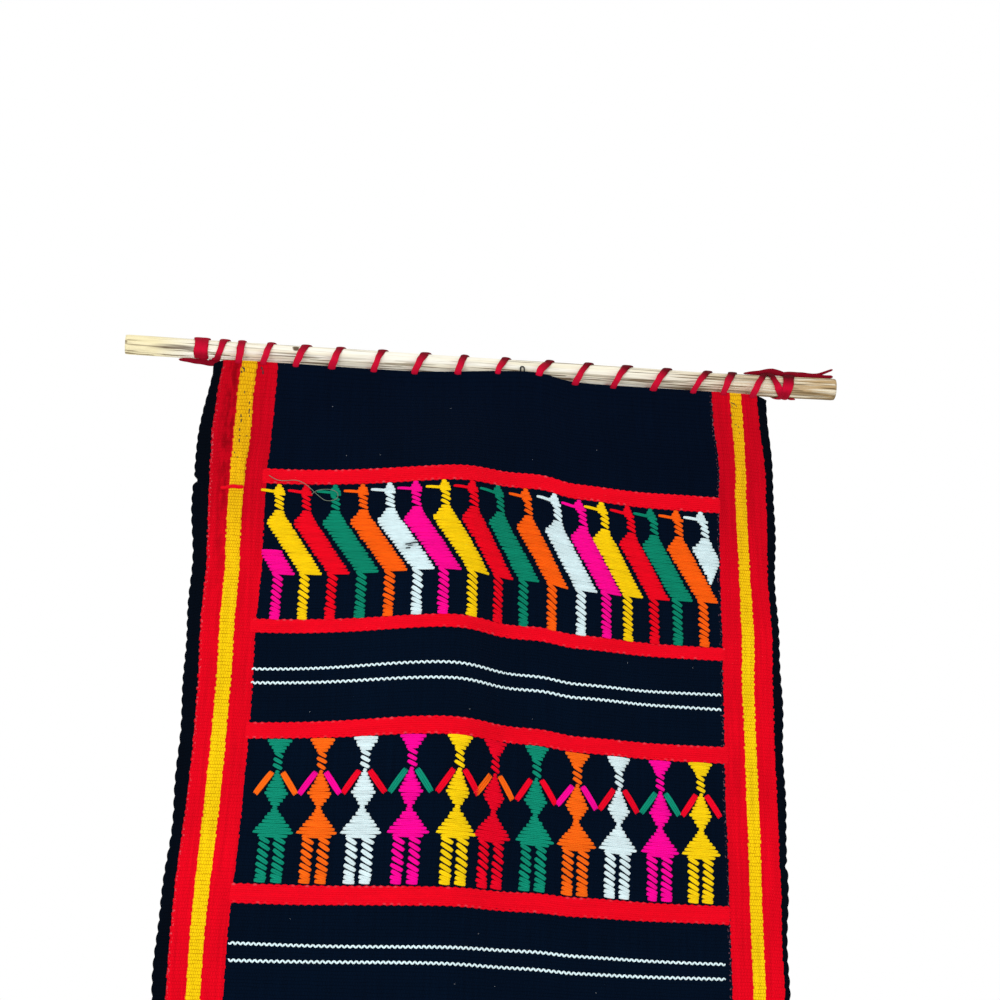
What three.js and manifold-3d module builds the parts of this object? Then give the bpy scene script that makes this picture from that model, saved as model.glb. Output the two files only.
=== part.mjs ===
// A woven wall tapestry whip-stitched to a wooden stick. The cloth hangs in front of the stick with a soft
// belly, uneven selvedges and a top edge that is pulled up near the middle. One yarn makes the whole lashing.
// Millimetres, +Z up, the cloth's face towards -Y. The origin is on the stick's axis over the cloth's middle.
import * as THREE from "three";
import { mergeVertices } from "three/addons/utils/BufferGeometryUtils.js";
import Module from "manifold-3d";

const wasm = await Module();
wasm.setup();

// Driving dimensions
const GAP = 0.3; // clearance between neighbouring pieces
const STICK = { sides: 10, wear: 0.5 };
const CLOTH = { thickness: 1.6, hemZ: -340, hemDepth: 9, hemThickness: 2.6, columns: 36, rows: 28 };
const YARN = { thickness: 1.1, width: 3, slack: 0.15, sides: 6, step: 2.2 };
const SLIT = { depth: 2.2, margin: 0.45, rise: 0.15 }; // where a stitch goes through, below the top edge
const STAPLE = { x: 14, width: 2.3, top: -0.9, foot: -4.7, wire: 0.35, corner: 0.5, sides: 6, step: 0.5 };

// The split stick's radius along its length. It thickens to the right, and its two bare ends are straight.
const STICK_PROFILE = [
  { x: -163.2, radius: 4.4 },
  { x: -142.5, radius: 4.4 },
  { x: -95, radius: 4.3 },
  { x: -30, radius: 4.45 },
  { x: 20, radius: 4.5 },
  { x: 85, radius: 4.75 },
  { x: 142.5, radius: 4.85 },
  { x: 160, radius: 4.85 },
];

// The cloth's middle surface hangs flat in front of the stick's thickest end.
const HANG_Y = -(Math.max(...STICK_PROFILE.map((row) => row.radius)) + GAP + CLOTH.thickness / 2);

// The top edge of the cloth, from the left corner to the right one
const TOP_EDGE = [
  { x: -124, z: -11.5 },
  { x: -119, z: -9.2 },
  { x: -94, z: -8.8 },
  { x: -33, z: -8.5 },
  { x: 2, z: -5.7 },
  { x: 14, z: -5 },
  { x: 23, z: -5.4 },
  { x: 37, z: -8.7 },
  { x: 94, z: -9 },
  { x: 121, z: -9.4 },
  { x: 127, z: -12 },
];

// The two selvedges, from the top edge down to the hem
const SELVEDGES = [
  { z: -8, left: -123.4, right: 126.4 },
  { z: -28, left: -126.6, right: 126.9 },
  { z: -57, left: -128.6, right: 127.5 },
  { z: -103, left: -125.7, right: 127 },
  { z: -130, left: -126.2, right: 127.3 },
  { z: -170, left: -125, right: 126.8 },
  { z: -215, left: -125.8, right: 127.2 },
  { z: -260, left: -127.8, right: 126.8 },
  { z: -300, left: -127.4, right: 126.6 },
  { z: -340, left: -126.4, right: 126.8 },
];

// The soft belly towards the viewer: its height, the place of its crest, and how far it spreads to each side
const BELLY = [
  { z: -8, height: 0, crest: -6, left: 44, right: 40 },
  { z: -16, height: 0.2, crest: -7, left: 44, right: 40 },
  { z: -60, height: 14.5, crest: -13, left: 45, right: 38 },
  { z: -135, height: 20, crest: -17, left: 45, right: 36 },
  { z: -174, height: 22.5, crest: -19, left: 47, right: 38 },
  { z: -246, height: 11, crest: -17, left: 44, right: 36 },
  { z: -340, height: 4, crest: -15, left: 46, right: 40 },
];

// How far each side swings away from the viewer
const SWING = [
  { z: -8, left: 0, right: 0 },
  { z: -30, left: 0, right: 0 },
  { z: -135, left: -4, right: 2 },
  { z: -174, left: -3.5, right: 0.5 },
  { z: -246, left: -2, right: 7.5 },
  { z: -340, left: -2, right: 8 },
];

// The crease that runs down from the staple: how deep it is, with a low ridge beside it on the right
const CREASE = { x: 6, spread: 14, ridge: { x: 46, spread: 17, share: 0.6 } };
const CREASE_DEPTH = [
  { z: -8, depth: 0 },
  { z: -15, depth: 0 },
  { z: -27, depth: 1.8 },
  { z: -60, depth: 4.4 },
  { z: -135, depth: 6.2 },
  { z: -157, depth: 6 },
  { z: -178, depth: 5.4 },
  { z: -243, depth: 4.2 },
  { z: -266, depth: 2.6 },
  { z: -340, depth: 1 },
];

// Bare turns of the lashing at the two ends, and the stitches between them: the place along the stick where
// the yarn comes up from below, and where it reaches the stick's top
const LEFT_TURNS = [
  { low: -130.6, top: -130.2 },
  { low: -127.2, top: -126.6 },
  { low: -123.6, top: -118.9 },
];
const STITCHES = [
  { low: -112.8, top: -110.5 },
  { low: -102.3, top: -96.6 },
  { low: -87, top: -82.6 },
  { low: -71.5, top: -67.3 },
  { low: -53, top: -48.8 },
  { low: -34.7, top: -29.9 },
  { low: -15.4, top: -11.7 },
  { low: 2.6, top: 6.5 },
  { low: 22.1, top: 26.5 },
  { low: 37.1, top: 45.2 },
  { low: 55.8, top: 63.8 },
  { low: 73.7, top: 81.7 },
  { low: 92.6, top: 100.8 },
  { low: 105.7, top: 112.3 },
  { low: 118.6, top: 127.6 },
];
const RIGHT_TURNS = [
  { low: 133.6, top: 136.2 },
  { low: 137, top: 139.5 },
];

// Loose strands on the stick: a place along it, an angle round it in degrees (0 back, 90 top, 180 front,
// 270 below) and a lift off the lie of the yarn
const STRANDS = {
  startTail: [
    { x: -137.8, angle: 272, lift: 1.2 },
    { x: -133, angle: 272, lift: 0.9 },
    { x: -127, angle: 270, lift: 0.9 },
    { x: -120.5, angle: 268, lift: 1.1 },
  ],
  topLoop: [
    { x: 113.5, angle: 88, lift: 0.1 },
    { x: 121, angle: 96, lift: 0.8 },
    { x: 128, angle: 100, lift: 1.9 },
    { x: 132, angle: 116, lift: 0.3 },
  ],
  crossStrand: [
    { x: 127.4, angle: 112, lift: 0.3 },
    { x: 129.4, angle: 155, lift: 0.3 },
    { x: 131.6, angle: 205, lift: 0.3 },
    { x: 134.6, angle: 258, lift: 0.2 },
  ],
  upperTail: [
    { x: 139, angle: 104, lift: 0.3 },
    { x: 147, angle: 106, lift: 0.5 },
    { x: 151.5, angle: 102, lift: 1.2 },
    { x: 157.5, angle: 98, lift: 3.6 },
  ],
  lowerTail: [
    { x: 139, angle: 122, lift: 0.1 },
    { x: 147, angle: 132, lift: 0 },
    { x: 157.8, angle: 132, lift: 0.3 },
  ],
};

// Value of one column of a table at a key, on a smooth curve through its rows. Past its ends it keeps the
// end row.
function along(table, key, column, at) {
  const rows = [...table].sort((a, b) => a[key] - b[key]);
  const slope = (a, b) => (rows[b][column] - rows[a][column]) / (rows[b][key] - rows[a][key]);
  const last = rows.length - 1;
  if (at <= rows[0][key]) return rows[0][column];
  if (at >= rows[last][key]) return rows[last][column];
  const i = rows.findIndex((row) => row[key] > at) - 1;
  const span = rows[i + 1][key] - rows[i][key];
  const t = (at - rows[i][key]) / span;
  const leave = i > 0 ? slope(i - 1, i + 1) : slope(i, i + 1);
  const arrive = i + 1 < last ? slope(i, i + 2) : slope(i, i + 1);
  const ease = 3 * t ** 2 - 2 * t ** 3;
  const bow = leave * span * (t ** 3 - 2 * t ** 2 + t) + arrive * span * (t ** 3 - t ** 2);
  return THREE.MathUtils.lerp(rows[i][column], rows[i + 1][column], ease) + bow;
}

// A soft swelling round a place, 1 at its middle
function swell(offset, spread) {
  return Math.exp(-((offset / spread) ** 2));
}

// Place of the cloth's middle surface: across goes from 0 at the left selvedge to 1 at the right one, and
// down from 0 at the top edge to 1 at the hem.
function drape(across, down) {
  const level = THREE.MathUtils.lerp(along(TOP_EDGE, "x", "z", 0), CLOTH.hemZ, down);
  const left = along(SELVEDGES, "z", "left", level);
  const right = along(SELVEDGES, "z", "right", level);
  const x = THREE.MathUtils.lerp(left, right, across);
  const z = THREE.MathUtils.lerp(along(TOP_EDGE, "x", "z", x), CLOTH.hemZ, down);
  const offset = x - along(BELLY, "z", "crest", z);
  const spread = along(BELLY, "z", offset < 0 ? "left" : "right", z);
  const belly = along(BELLY, "z", "height", z) * swell(offset, spread);
  const ridge = CREASE.ridge.share * swell(x - CREASE.ridge.x, CREASE.ridge.spread);
  const crease = along(CREASE_DEPTH, "z", "depth", z) * (swell(x - CREASE.x, CREASE.spread) - ridge);
  const sideways = THREE.MathUtils.smoothstep(across, 0, 1);
  const swing = THREE.MathUtils.lerp(along(SWING, "z", "left", z), along(SWING, "z", "right", z), sideways);
  return new THREE.Vector3(x, HANG_Y - belly + crease + swing, z);
}

// A closed solid for cutting and joining, from any geometry
function solid(geometry) {
  const bare = new THREE.BufferGeometry();
  bare.setAttribute("position", geometry.getAttribute("position"));
  bare.setIndex(geometry.getIndex());
  const merged = mergeVertices(bare, 1e-4);
  const vertProperties = merged.getAttribute("position").array;
  return new wasm.Manifold(new wasm.Mesh({ numProp: 3, vertProperties, triVerts: merged.index.array }));
}

// The geometry of a solid that was cut or joined
function geometryOf(body) {
  const mesh = body.getMesh();
  const geometry = new THREE.BufferGeometry();
  geometry.setAttribute("position", new THREE.BufferAttribute(mesh.vertProperties, 3));
  geometry.setIndex(new THREE.BufferAttribute(mesh.triVerts, 1));
  geometry.computeVertexNormals();
  return geometry;
}

// A smooth curve whose section keeps one side towards the stick's axis all along, as a flat yarn does
class YarnRoute extends THREE.CatmullRomCurve3 {
  computeFrenetFrames(segments) {
    const shares = Array.from({ length: segments + 1 }, (_, n) => n / segments);
    const tangents = shares.map((share) => this.getTangentAt(share));
    const normals = shares.map((share, n) => {
      const outward = this.getPointAt(share).setX(0);
      return outward.addScaledVector(tangents[n], -outward.dot(tangents[n])).normalize();
    });
    const binormals = tangents.map((tangent, n) => tangent.clone().cross(normals[n]));
    return { tangents, normals, binormals };
  }
}

// An oval section of straight sides carried along a smooth curve through hand-chosen points
function tube(points, thickness, width, sides, step) {
  const path = new YarnRoute(points, false, "centripetal");
  path.arcLengthDivisions = 60 * points.length;
  const corner = (n) => (2 * Math.PI * (n + 0.5)) / sides;
  const ring = Array.from({ length: sides }, (_, n) => {
    return new THREE.Vector2((thickness / 2) * Math.cos(corner(n)), (width / 2) * Math.sin(corner(n)));
  });
  const steps = Math.round(path.getLength() / step);
  return new THREE.ExtrudeGeometry(new THREE.Shape(ring), { steps, extrudePath: path, bevelEnabled: false });
}

// A point where the yarn lies on the stick, by its place along the stick, its angle round it and its lift
function onStick({ x, angle, lift = 0 }) {
  const reach = along(STICK_PROFILE, "x", "radius", x) + GAP + YARN.slack + YARN.thickness / 2 + lift;
  const turn = THREE.MathUtils.degToRad(angle);
  return new THREE.Vector3(x, reach * Math.cos(turn), reach * Math.sin(turn));
}

// The yarn from the front of one turn, over the stick's top, down its back and under it
function overTheStick(turn, nextLow) {
  const front = (share) => THREE.MathUtils.lerp(turn.low, turn.top, share);
  const back = (share) => THREE.MathUtils.lerp(turn.top, nextLow, share);
  return [
    { x: front(0.7), angle: 165 },
    { x: turn.top, angle: 117 },
    { x: back(0.2), angle: 65 },
    { x: back(0.45), angle: 10 },
    { x: back(0.72), angle: -45 },
    { x: back(0.88), angle: -80, lift: 0.2 },
  ].map(onStick);
}

// A bare turn: up the front of the stick, over it and under it again
function bareTurn(turn, nextLow) {
  const low = onStick({ x: turn.low, angle: 262 });
  const rise = onStick({ x: THREE.MathUtils.lerp(turn.low, turn.top, 0.35), angle: 213 });
  return [low, rise, ...overTheStick(turn, nextLow)];
}

// The height of the slit that a stitch goes through
function slitHeight(turn) {
  return along(TOP_EDGE, "x", "z", turn.low) - SLIT.depth;
}

// A stitch: through the cloth from behind, up its front past the top edge, over the stick and down behind it
function stitch(turn, nextLow) {
  const slit = slitHeight(turn);
  const edge = slit + SLIT.depth;
  const reach = CLOTH.thickness / 2 + GAP + YARN.thickness / 2 + 0.25;
  const lean = THREE.MathUtils.lerp(turn.low, turn.top, 0.3);
  const through = [
    new THREE.Vector3(turn.low, HANG_Y + reach + 0.4, slit - 0.1),
    new THREE.Vector3(turn.low, HANG_Y, slit),
    new THREE.Vector3(turn.low + 0.1, HANG_Y - reach, slit + 0.9),
    new THREE.Vector3(lean, HANG_Y - reach - 0.1, edge + 0.6),
  ];
  return [...through, ...overTheStick(turn, nextLow)];
}

// Every turn of the lashing in order, on one route
function lashingRoute() {
  const turns = [
    ...LEFT_TURNS.map((turn) => ({ turn, make: bareTurn })),
    ...STITCHES.map((turn) => ({ turn, make: stitch })),
    ...RIGHT_TURNS.map((turn) => ({ turn, make: bareTurn })),
  ];
  const pitch = RIGHT_TURNS[1].low - RIGHT_TURNS[0].low;
  return turns.flatMap(({ turn, make }, n) => make(turn, turns[n + 1]?.turn.low ?? turn.low + pitch));
}

// The lashing: its main route with the loose strands joined on
function lashingGeometry() {
  const { thickness, width, sides, step } = YARN;
  const yarn = (points) => solid(tube(points, thickness, width, sides, step));
  const strands = Object.values(STRANDS).map((points) => yarn(points.map(onStick)));
  return geometryOf(strands.reduce((body, strand) => body.add(strand), yarn(lashingRoute())));
}

// The hole that one stitch needs in the cloth
function slitCutter(turn) {
  const width = YARN.width + 2 * SLIT.margin;
  const height = YARN.thickness + 2 * (SLIT.margin + SLIT.rise);
  const hole = new THREE.BoxGeometry(width, 3 * CLOTH.thickness, height);
  return solid(hole.translate(turn.low, HANG_Y, slitHeight(turn) + SLIT.rise));
}

// The cloth sheet on its drape, thicker along the turned hem, with a hole for each stitch
function clothGeometry() {
  const { thickness, columns, rows } = CLOTH;
  const sheet = new THREE.BoxGeometry(1, thickness, 1, columns, 1, rows);
  const position = sheet.getAttribute("position");
  for (let i = 0; i < position.count; i += 1) {
    const place = drape(position.getX(i) + 0.5, 0.5 - position.getZ(i));
    const hem = THREE.MathUtils.smoothstep(CLOTH.hemZ + CLOTH.hemDepth - place.z, -0.5, 0.5);
    const thick = THREE.MathUtils.lerp(1, CLOTH.hemThickness / thickness, hem);
    position.setXYZ(i, place.x, place.y + thick * position.getY(i), place.z);
  }
  return geometryOf(STITCHES.map(slitCutter).reduce((cloth, slit) => cloth.subtract(slit), solid(sheet)));
}

// The stick: a many-sided turned profile with worn ends, laid along X with one flat facet underneath
function stickGeometry() {
  const { sides, wear } = STICK;
  const [first, last] = [STICK_PROFILE[0], STICK_PROFILE.at(-1)];
  const endFace = (row) => [0, row.radius - wear].map((radius) => ({ x: row.x, radius }));
  const leftEnd = [...endFace(first), { ...first, x: first.x + 2 * wear }];
  const rightEnd = [{ ...last, x: last.x - 2 * wear }, ...endFace(last).reverse()];
  const profile = [...leftEnd, ...STICK_PROFILE.slice(1, -1), ...rightEnd];
  const points = profile.map((row) => new THREE.Vector2(row.radius, row.x));
  const turned = new THREE.LatheGeometry(points, sides, Math.PI / sides);
  return turned.rotateZ(-Math.PI / 2);
}

// The staple: an upright bent wire in front of the stick, with its feet on the cloth's top edge
function stapleGeometry() {
  const { x, width, top, foot, wire, corner, sides, step } = STAPLE;
  const y = -(along(STICK_PROFILE, "x", "radius", x) + GAP + wire);
  const half = width / 2 - wire;
  const crown = top - wire;
  const rightLeg = [
    { out: half - corner, z: crown },
    { out: half - corner * 0.3, z: crown - corner * 0.3 },
    { out: half, z: crown - corner },
    { out: half, z: foot },
  ];
  const leftLeg = rightLeg.map((row) => ({ ...row, out: -row.out })).reverse();
  const points = [...leftLeg, ...rightLeg].map((row) => new THREE.Vector3(x + row.out, y, row.z));
  return tube(points, 2 * wire, 2 * wire, sides, step);
}

const FINISH = {
  cloth: { color: 0x05080f, roughness: 0.9, metalness: 0 },
  stick: { color: 0xe8dcb4, roughness: 0.6, metalness: 0 },
  lashing: { color: 0xb8082a, roughness: 0.7, metalness: 0 },
  staple: { color: 0x3a3a38, roughness: 0.4, metalness: 1 },
};

function piece(name, geometry) {
  const mesh = new THREE.Mesh(geometry, new THREE.MeshStandardMaterial(FINISH[name]));
  mesh.name = name;
  return mesh;
}

const tapestry = new THREE.Group();
tapestry.add(
  piece("cloth", clothGeometry()),
  piece("stick", stickGeometry()),
  piece("lashing", lashingGeometry()),
  piece("staple", stapleGeometry()),
);

export default tapestry;
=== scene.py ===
"""A brocaded wall cloth lashed to its hanging stick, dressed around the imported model.

Every shape is worked out in millimetres in the model's own frame, +X to the right, -Y towards the viewer
and +Z up, and goes into its mesh in metres. A place on the cloth is given by u, millimetres across from the
middle warp, and p, millimetres of weaving down from the top edge. In a row of figures v is p counted from the
band over it.
"""

import logging
from collections.abc import Sequence
from dataclasses import dataclass, field
from enum import Enum
from itertools import pairwise
from typing import Any

import bpy
import numpy as np
from mathutils import Matrix, Vector


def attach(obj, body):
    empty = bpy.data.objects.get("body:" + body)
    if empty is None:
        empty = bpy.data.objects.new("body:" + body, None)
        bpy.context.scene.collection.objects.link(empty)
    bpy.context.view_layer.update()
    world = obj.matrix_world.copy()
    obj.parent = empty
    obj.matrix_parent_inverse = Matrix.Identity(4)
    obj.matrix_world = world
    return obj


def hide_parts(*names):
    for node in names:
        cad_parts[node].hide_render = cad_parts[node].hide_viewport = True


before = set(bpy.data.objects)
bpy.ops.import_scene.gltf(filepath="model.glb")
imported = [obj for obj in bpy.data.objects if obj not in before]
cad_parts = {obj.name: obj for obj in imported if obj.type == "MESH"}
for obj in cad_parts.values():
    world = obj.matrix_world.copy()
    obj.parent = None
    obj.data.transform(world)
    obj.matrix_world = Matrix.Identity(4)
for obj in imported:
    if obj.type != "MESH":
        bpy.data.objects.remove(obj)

LOG = logging.getLogger("wall_cloth")
MM = 0.001
BODY = "root"
Array = np.ndarray
Table = tuple[tuple[float, ...], ...]
Colour = tuple[int, int, int]

# Millimetres in which plied yarn turns once, and by which the fibres of neighbouring yarns are shifted
PLY_TURN, YARN_SHIFT = 7.0, 7.31
# Free rim round each yarn's cell of the bake map, and how far a yarn's tip reaches into it
BAKE_EDGE, BAKE_TIP = 0.08, 0.06
# Pitch of the woven ribs. At the top, row p is woven where row p + LOOSENING * e^(-p / LOOSE_REACH) would be
RIB, LOOSENING, LOOSE_REACH = 1.35, 13.2, 30.0


def along(rows: Table, at: Any, column: int = 1) -> Array:
    """Reads one column of a table on a smooth curve through its rows.

    Between two rows it is a cubic whose slope at each row is the slope between that row's neighbours. Past
    the ends it keeps the end row.

    Args:
        rows: The table. The first number of each row is its key.
        at: The keys to read at.
        column: Which number of the rows to read.

    Returns:
        The values, in the shape of the keys.
    """
    table = np.array(sorted(rows), float)
    key, value = table[:, 0], table[:, column]
    at = np.asarray(at, float)
    i = np.clip(np.searchsorted(key, at, side="right") - 1, 0, len(key) - 2)
    span = key[i + 1] - key[i]
    t = np.clip((at - key[i]) / span, 0, 1)
    slope = np.gradient(value)
    slope[1:-1] = (value[2:] - value[:-2]) / (key[2:] - key[:-2])
    slope[[0, -1]] = np.diff(value)[[0, -1]] / np.diff(key)[[0, -1]]
    ease = 3 * t**2 - 2 * t**3
    bow = slope[i] * span * (t**3 - 2 * t**2 + t) + slope[i + 1] * span * (t**3 - t**2)
    return value[i] * (1 - ease) + value[i + 1] * ease + bow


def unit(vectors: Array) -> Array:
    """Scales vectors to length 1."""
    return vectors / np.maximum(np.linalg.norm(vectors, axis=-1, keepdims=True), 1e-9)


def swell(offset: Array, spread: Any) -> Array:
    """Soft swelling round a place: e to the minus square of offset over spread."""
    return np.exp(-((offset / spread) ** 2))


def linear(srgb: Sequence[float]) -> Array:
    """Turns a colour of 0 to 255 as the eye sees it into the linear light that a shader takes."""
    c = np.asarray(srgb, float) / 255
    return np.where(c <= 0.04045, c / 12.92, ((c + 0.055) / 1.055) ** 2.4)


def shade(srgb: Sequence[float]) -> tuple[float, ...]:
    """Turns a colour of 0 to 255 as the eye sees it into a shader colour."""
    return (*linear(srgb).tolist(), 1.0)


class Dye(Enum):
    """Colours of the yarns, as the eye sees them."""

    BLACK = (1, 13, 31)
    SELVEDGE = (2, 8, 19)
    RED = (231, 0, 28)
    BORDER_RED = (225, 4, 28)
    YELLOW = (242, 201, 5)
    BORDER_YELLOW = (247, 205, 13)
    GREEN = (5, 130, 102)
    ORANGE = (242, 93, 9)
    WHITE = (210, 231, 235)
    PINK = (243, 0, 143)
    CRIMSON = (206, 8, 50)

    @property
    def light(self) -> Array:
        """Gives the dye as linear light."""
        return linear(self.value)


class Slot(Enum):
    """Material slots of the model's record. Each new piece is handed one, which it does not use."""

    CLOTH = "cloth"
    STICK = "stick"
    LASHING = "lashing"


@dataclass
class Skin:
    """A computed surface on its way into a mesh.

    Quads come before triangles. Loom places and bake places are given for each corner of each face, dyes for
    each point.
    """

    points: Array
    quads: Array
    tris: Array
    quad_loom: Array
    tri_loom: Array
    quad_bake: Array
    tri_bake: Array
    dyes: Array | None = None

    def outward(self) -> None:
        """Turns every face round if the closed surface is inside out, by the sign of its volume."""
        tri = np.concatenate([self.quads[:, [0, 1, 2]], self.quads[:, [0, 2, 3]], self.tris.reshape(-1, 3)])
        a, b, c = (self.points[tri[:, n]] for n in range(3))
        if np.einsum("ij,ij->i", a, np.cross(b, c)).sum() < 0:
            for name in ("quads", "tris", "quad_loom", "tri_loom", "quad_bake", "tri_bake"):
                setattr(self, name, getattr(self, name)[:, ::-1])

    def piece(self, name: str, material: bpy.types.Material, slot: Slot) -> bpy.types.Object:
        """Puts the surface into a mesh that rides on the model's body.

        Args:
            name: The piece's name.
            material: Its finish.
            slot: The record's slot that the finish belongs to. It is not used.

        Returns:
            The new object, at the origin.
        """
        self.outward()
        mesh = bpy.data.meshes.new(name)
        mesh.from_pydata((self.points * MM).tolist(), [], self.quads.tolist() + self.tris.tolist())
        mesh.shade_smooth()
        for layer, quad, tri in (
            ("Loom", self.quad_loom, self.tri_loom),
            ("OFBake", self.quad_bake, self.tri_bake),
        ):
            places = np.concatenate([quad.reshape(-1, 2), tri.reshape(-1, 2)])
            mesh.uv_layers.new(name=layer).uv.foreach_set("vector", places.astype(np.float32).ravel())
        if self.dyes is not None:
            rgba = np.concatenate([self.dyes, np.ones((len(self.dyes), 1))], axis=1)
            dye = mesh.color_attributes.new(name="dye", type="FLOAT_COLOR", domain="POINT")
            dye.data.foreach_set("color", rgba.astype(np.float32).ravel())
        mesh.materials.append(material)
        mesh.validate()
        made = bpy.data.objects.new(name, mesh)
        bpy.context.scene.collection.objects.link(made)
        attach(made, BODY)
        LOG.info("%s: %d faces", name, len(mesh.polygons))
        return made


@dataclass(frozen=True)
class TubeFaces:
    """Faces of a tube whose ends close in a point, with the ring and the share of a turn of each corner."""

    quads: Array
    tris: Array
    quad_ring: Array
    quad_turn: Array
    tri_ring: Array
    tri_turn: Array


def tube_faces(rings: int, sides: int) -> TubeFaces:
    """Joins rings of points, counted ring by ring, with the first and the last end's tip after them.

    Args:
        rings: How many rings the tube has.
        sides: How many points each ring has.

    Returns:
        The faces: quads between the rings, and a fan of triangles at each end.
    """
    i, j = np.meshgrid(np.arange(rings - 1), np.arange(sides), indexing="ij")
    beside = (j + 1) % sides
    quads = np.stack([i * sides + j, i * sides + beside, (i + 1) * sides + beside, (i + 1) * sides + j], -1)
    ring, tip = np.arange(sides), rings * sides
    first = np.stack([np.full(sides, tip), (ring + 1) % sides, ring], -1)
    last = np.stack([np.full(sides, tip + 1), ring, (ring + 1) % sides], -1)
    last[:, 1:] += tip - sides
    fans = np.concatenate([
        np.stack([ring + 0.5, ring + 1, ring], -1),
        np.stack([ring + 0.5, ring, ring + 1], -1),
    ])
    return TubeFaces(
        quads.reshape(-1, 4),
        np.concatenate([first, last]),
        np.stack([i, i, i + 1, i + 1], -1).reshape(-1, 4),
        np.stack([j, j + 1, j + 1, j], -1).reshape(-1, 4) / sides,
        np.repeat(np.array([[0] * 3, [rings - 1] * 3]), sides, axis=0),
        fans / sides,
    )


def grid_faces(rows: int, columns: int) -> Array:
    """Joins a grid of points, counted row by row, into quads.

    Args:
        rows: How many rows of points the grid has.
        columns: How many points each row has.

    Returns:
        The quads.
    """
    r, c = np.meshgrid(np.arange(rows - 1), np.arange(columns - 1), indexing="ij")
    corner = r * columns + c
    return np.stack([corner, corner + 1, corner + columns + 1, corner + columns], -1).reshape(-1, 4)


def yarn_skin(
    paths: Array,
    outward: Array,
    half_width: Array,
    half_height: Array,
    sides: int,
    dyes: Array,
    cells: int,
    ply: float = 0.0,
) -> Skin:
    """Carries an oval profile along each path of a bundle of yarns.

    The ring point at angle a is the path's point plus half_width times cos a sideways plus half_height times
    sin a outwards, where sideways is the cross product of the path's direction and outwards. Plies make the
    ring swell by ply times cos(3a + a turn every 7 mm). Both ends close in a point.

    Args:
        paths: Points of each yarn, as (yarns, stations, 3).
        outward: Direction away from what the yarn lies on, in the same shape.
        half_width: Half of the oval's width at each station.
        half_height: Half of the oval's height at each station.
        sides: Corners of the ring.
        dyes: Linear colour at each station, as (yarns, stations, 3).
        cells: Columns in which the yarns lie side by side in the bake map.
        ply: Depth of the grooves between the plies, as a share of the ring.

    Returns:
        The yarns' closed surfaces.
    """
    count, stations, _ = paths.shape
    direction = unit(np.gradient(paths, axis=1))
    out = unit(outward - direction * np.sum(outward * direction, -1, keepdims=True))
    sideways = np.cross(direction, out)
    length = np.cumsum(np.linalg.norm(np.diff(paths, axis=1, prepend=paths[:, :1]), axis=-1), axis=1)
    angle = np.arange(sides) * 2 * np.pi / sides
    lobes = 1 + ply * np.cos(3 * angle + 2 * np.pi / PLY_TURN * length[..., None])
    wide = half_width[..., None] * np.cos(angle) * lobes
    high = half_height[..., None] * np.sin(angle) * lobes
    rings = paths[:, :, None] + wide[..., None] * sideways[:, :, None] + high[..., None] * out[:, :, None]
    tips = np.stack([
        paths[:, 0] - 0.5 * half_height[:, :1] * direction[:, 0],
        paths[:, -1] + 0.5 * half_height[:, -1:] * direction[:, -1],
    ], axis=1)
    points = np.concatenate([rings.reshape(count, -1, 3), tips], axis=1)
    faces = tube_faces(stations, sides)
    base = np.arange(count)[:, None, None] * points.shape[1]

    def places(ring: Array, turn: Array, run: Array) -> Array:
        """Gives face corners as (yarns, faces, corners, 2): run along the yarn and share of a turn."""
        shape = (count, *ring.shape)
        return np.stack([np.broadcast_to(run[:, ring], shape), np.broadcast_to(turn, shape)], -1)

    corners = (faces.quad_ring, faces.quad_turn), (faces.tri_ring, faces.tri_turn)
    along_cloth = length + (np.arange(count) * YARN_SHIFT)[:, None]
    loom = [places(*corner, along_cloth) for corner in corners]
    cell = np.stack([np.arange(count) % cells, np.arange(count) // cells], -1)[:, None, None, :]
    many = np.array([cells, -(-count // cells)])
    share = length / length[:, -1:]
    bake = [(cell + (BAKE_EDGE + (1 - 2 * BAKE_EDGE) * places(*corner, share))) / many for corner in corners]
    bake[1][:, :sides, 0, 0] -= BAKE_TIP / cells
    bake[1][:, sides:, 0, 0] += BAKE_TIP / cells
    colours = np.concatenate([np.repeat(dyes, sides, axis=1), dyes[:, [0, -1]]], axis=1)
    return Skin(
        points.reshape(-1, 3), (faces.quads + base).reshape(-1, 4), (faces.tris + base).reshape(-1, 3),
        loom[0].reshape(-1, 4, 2), loom[1].reshape(-1, 3, 2),
        bake[0].reshape(-1, 4, 2), bake[1].reshape(-1, 3, 2),
        colours.reshape(-1, 3),
    )


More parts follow.
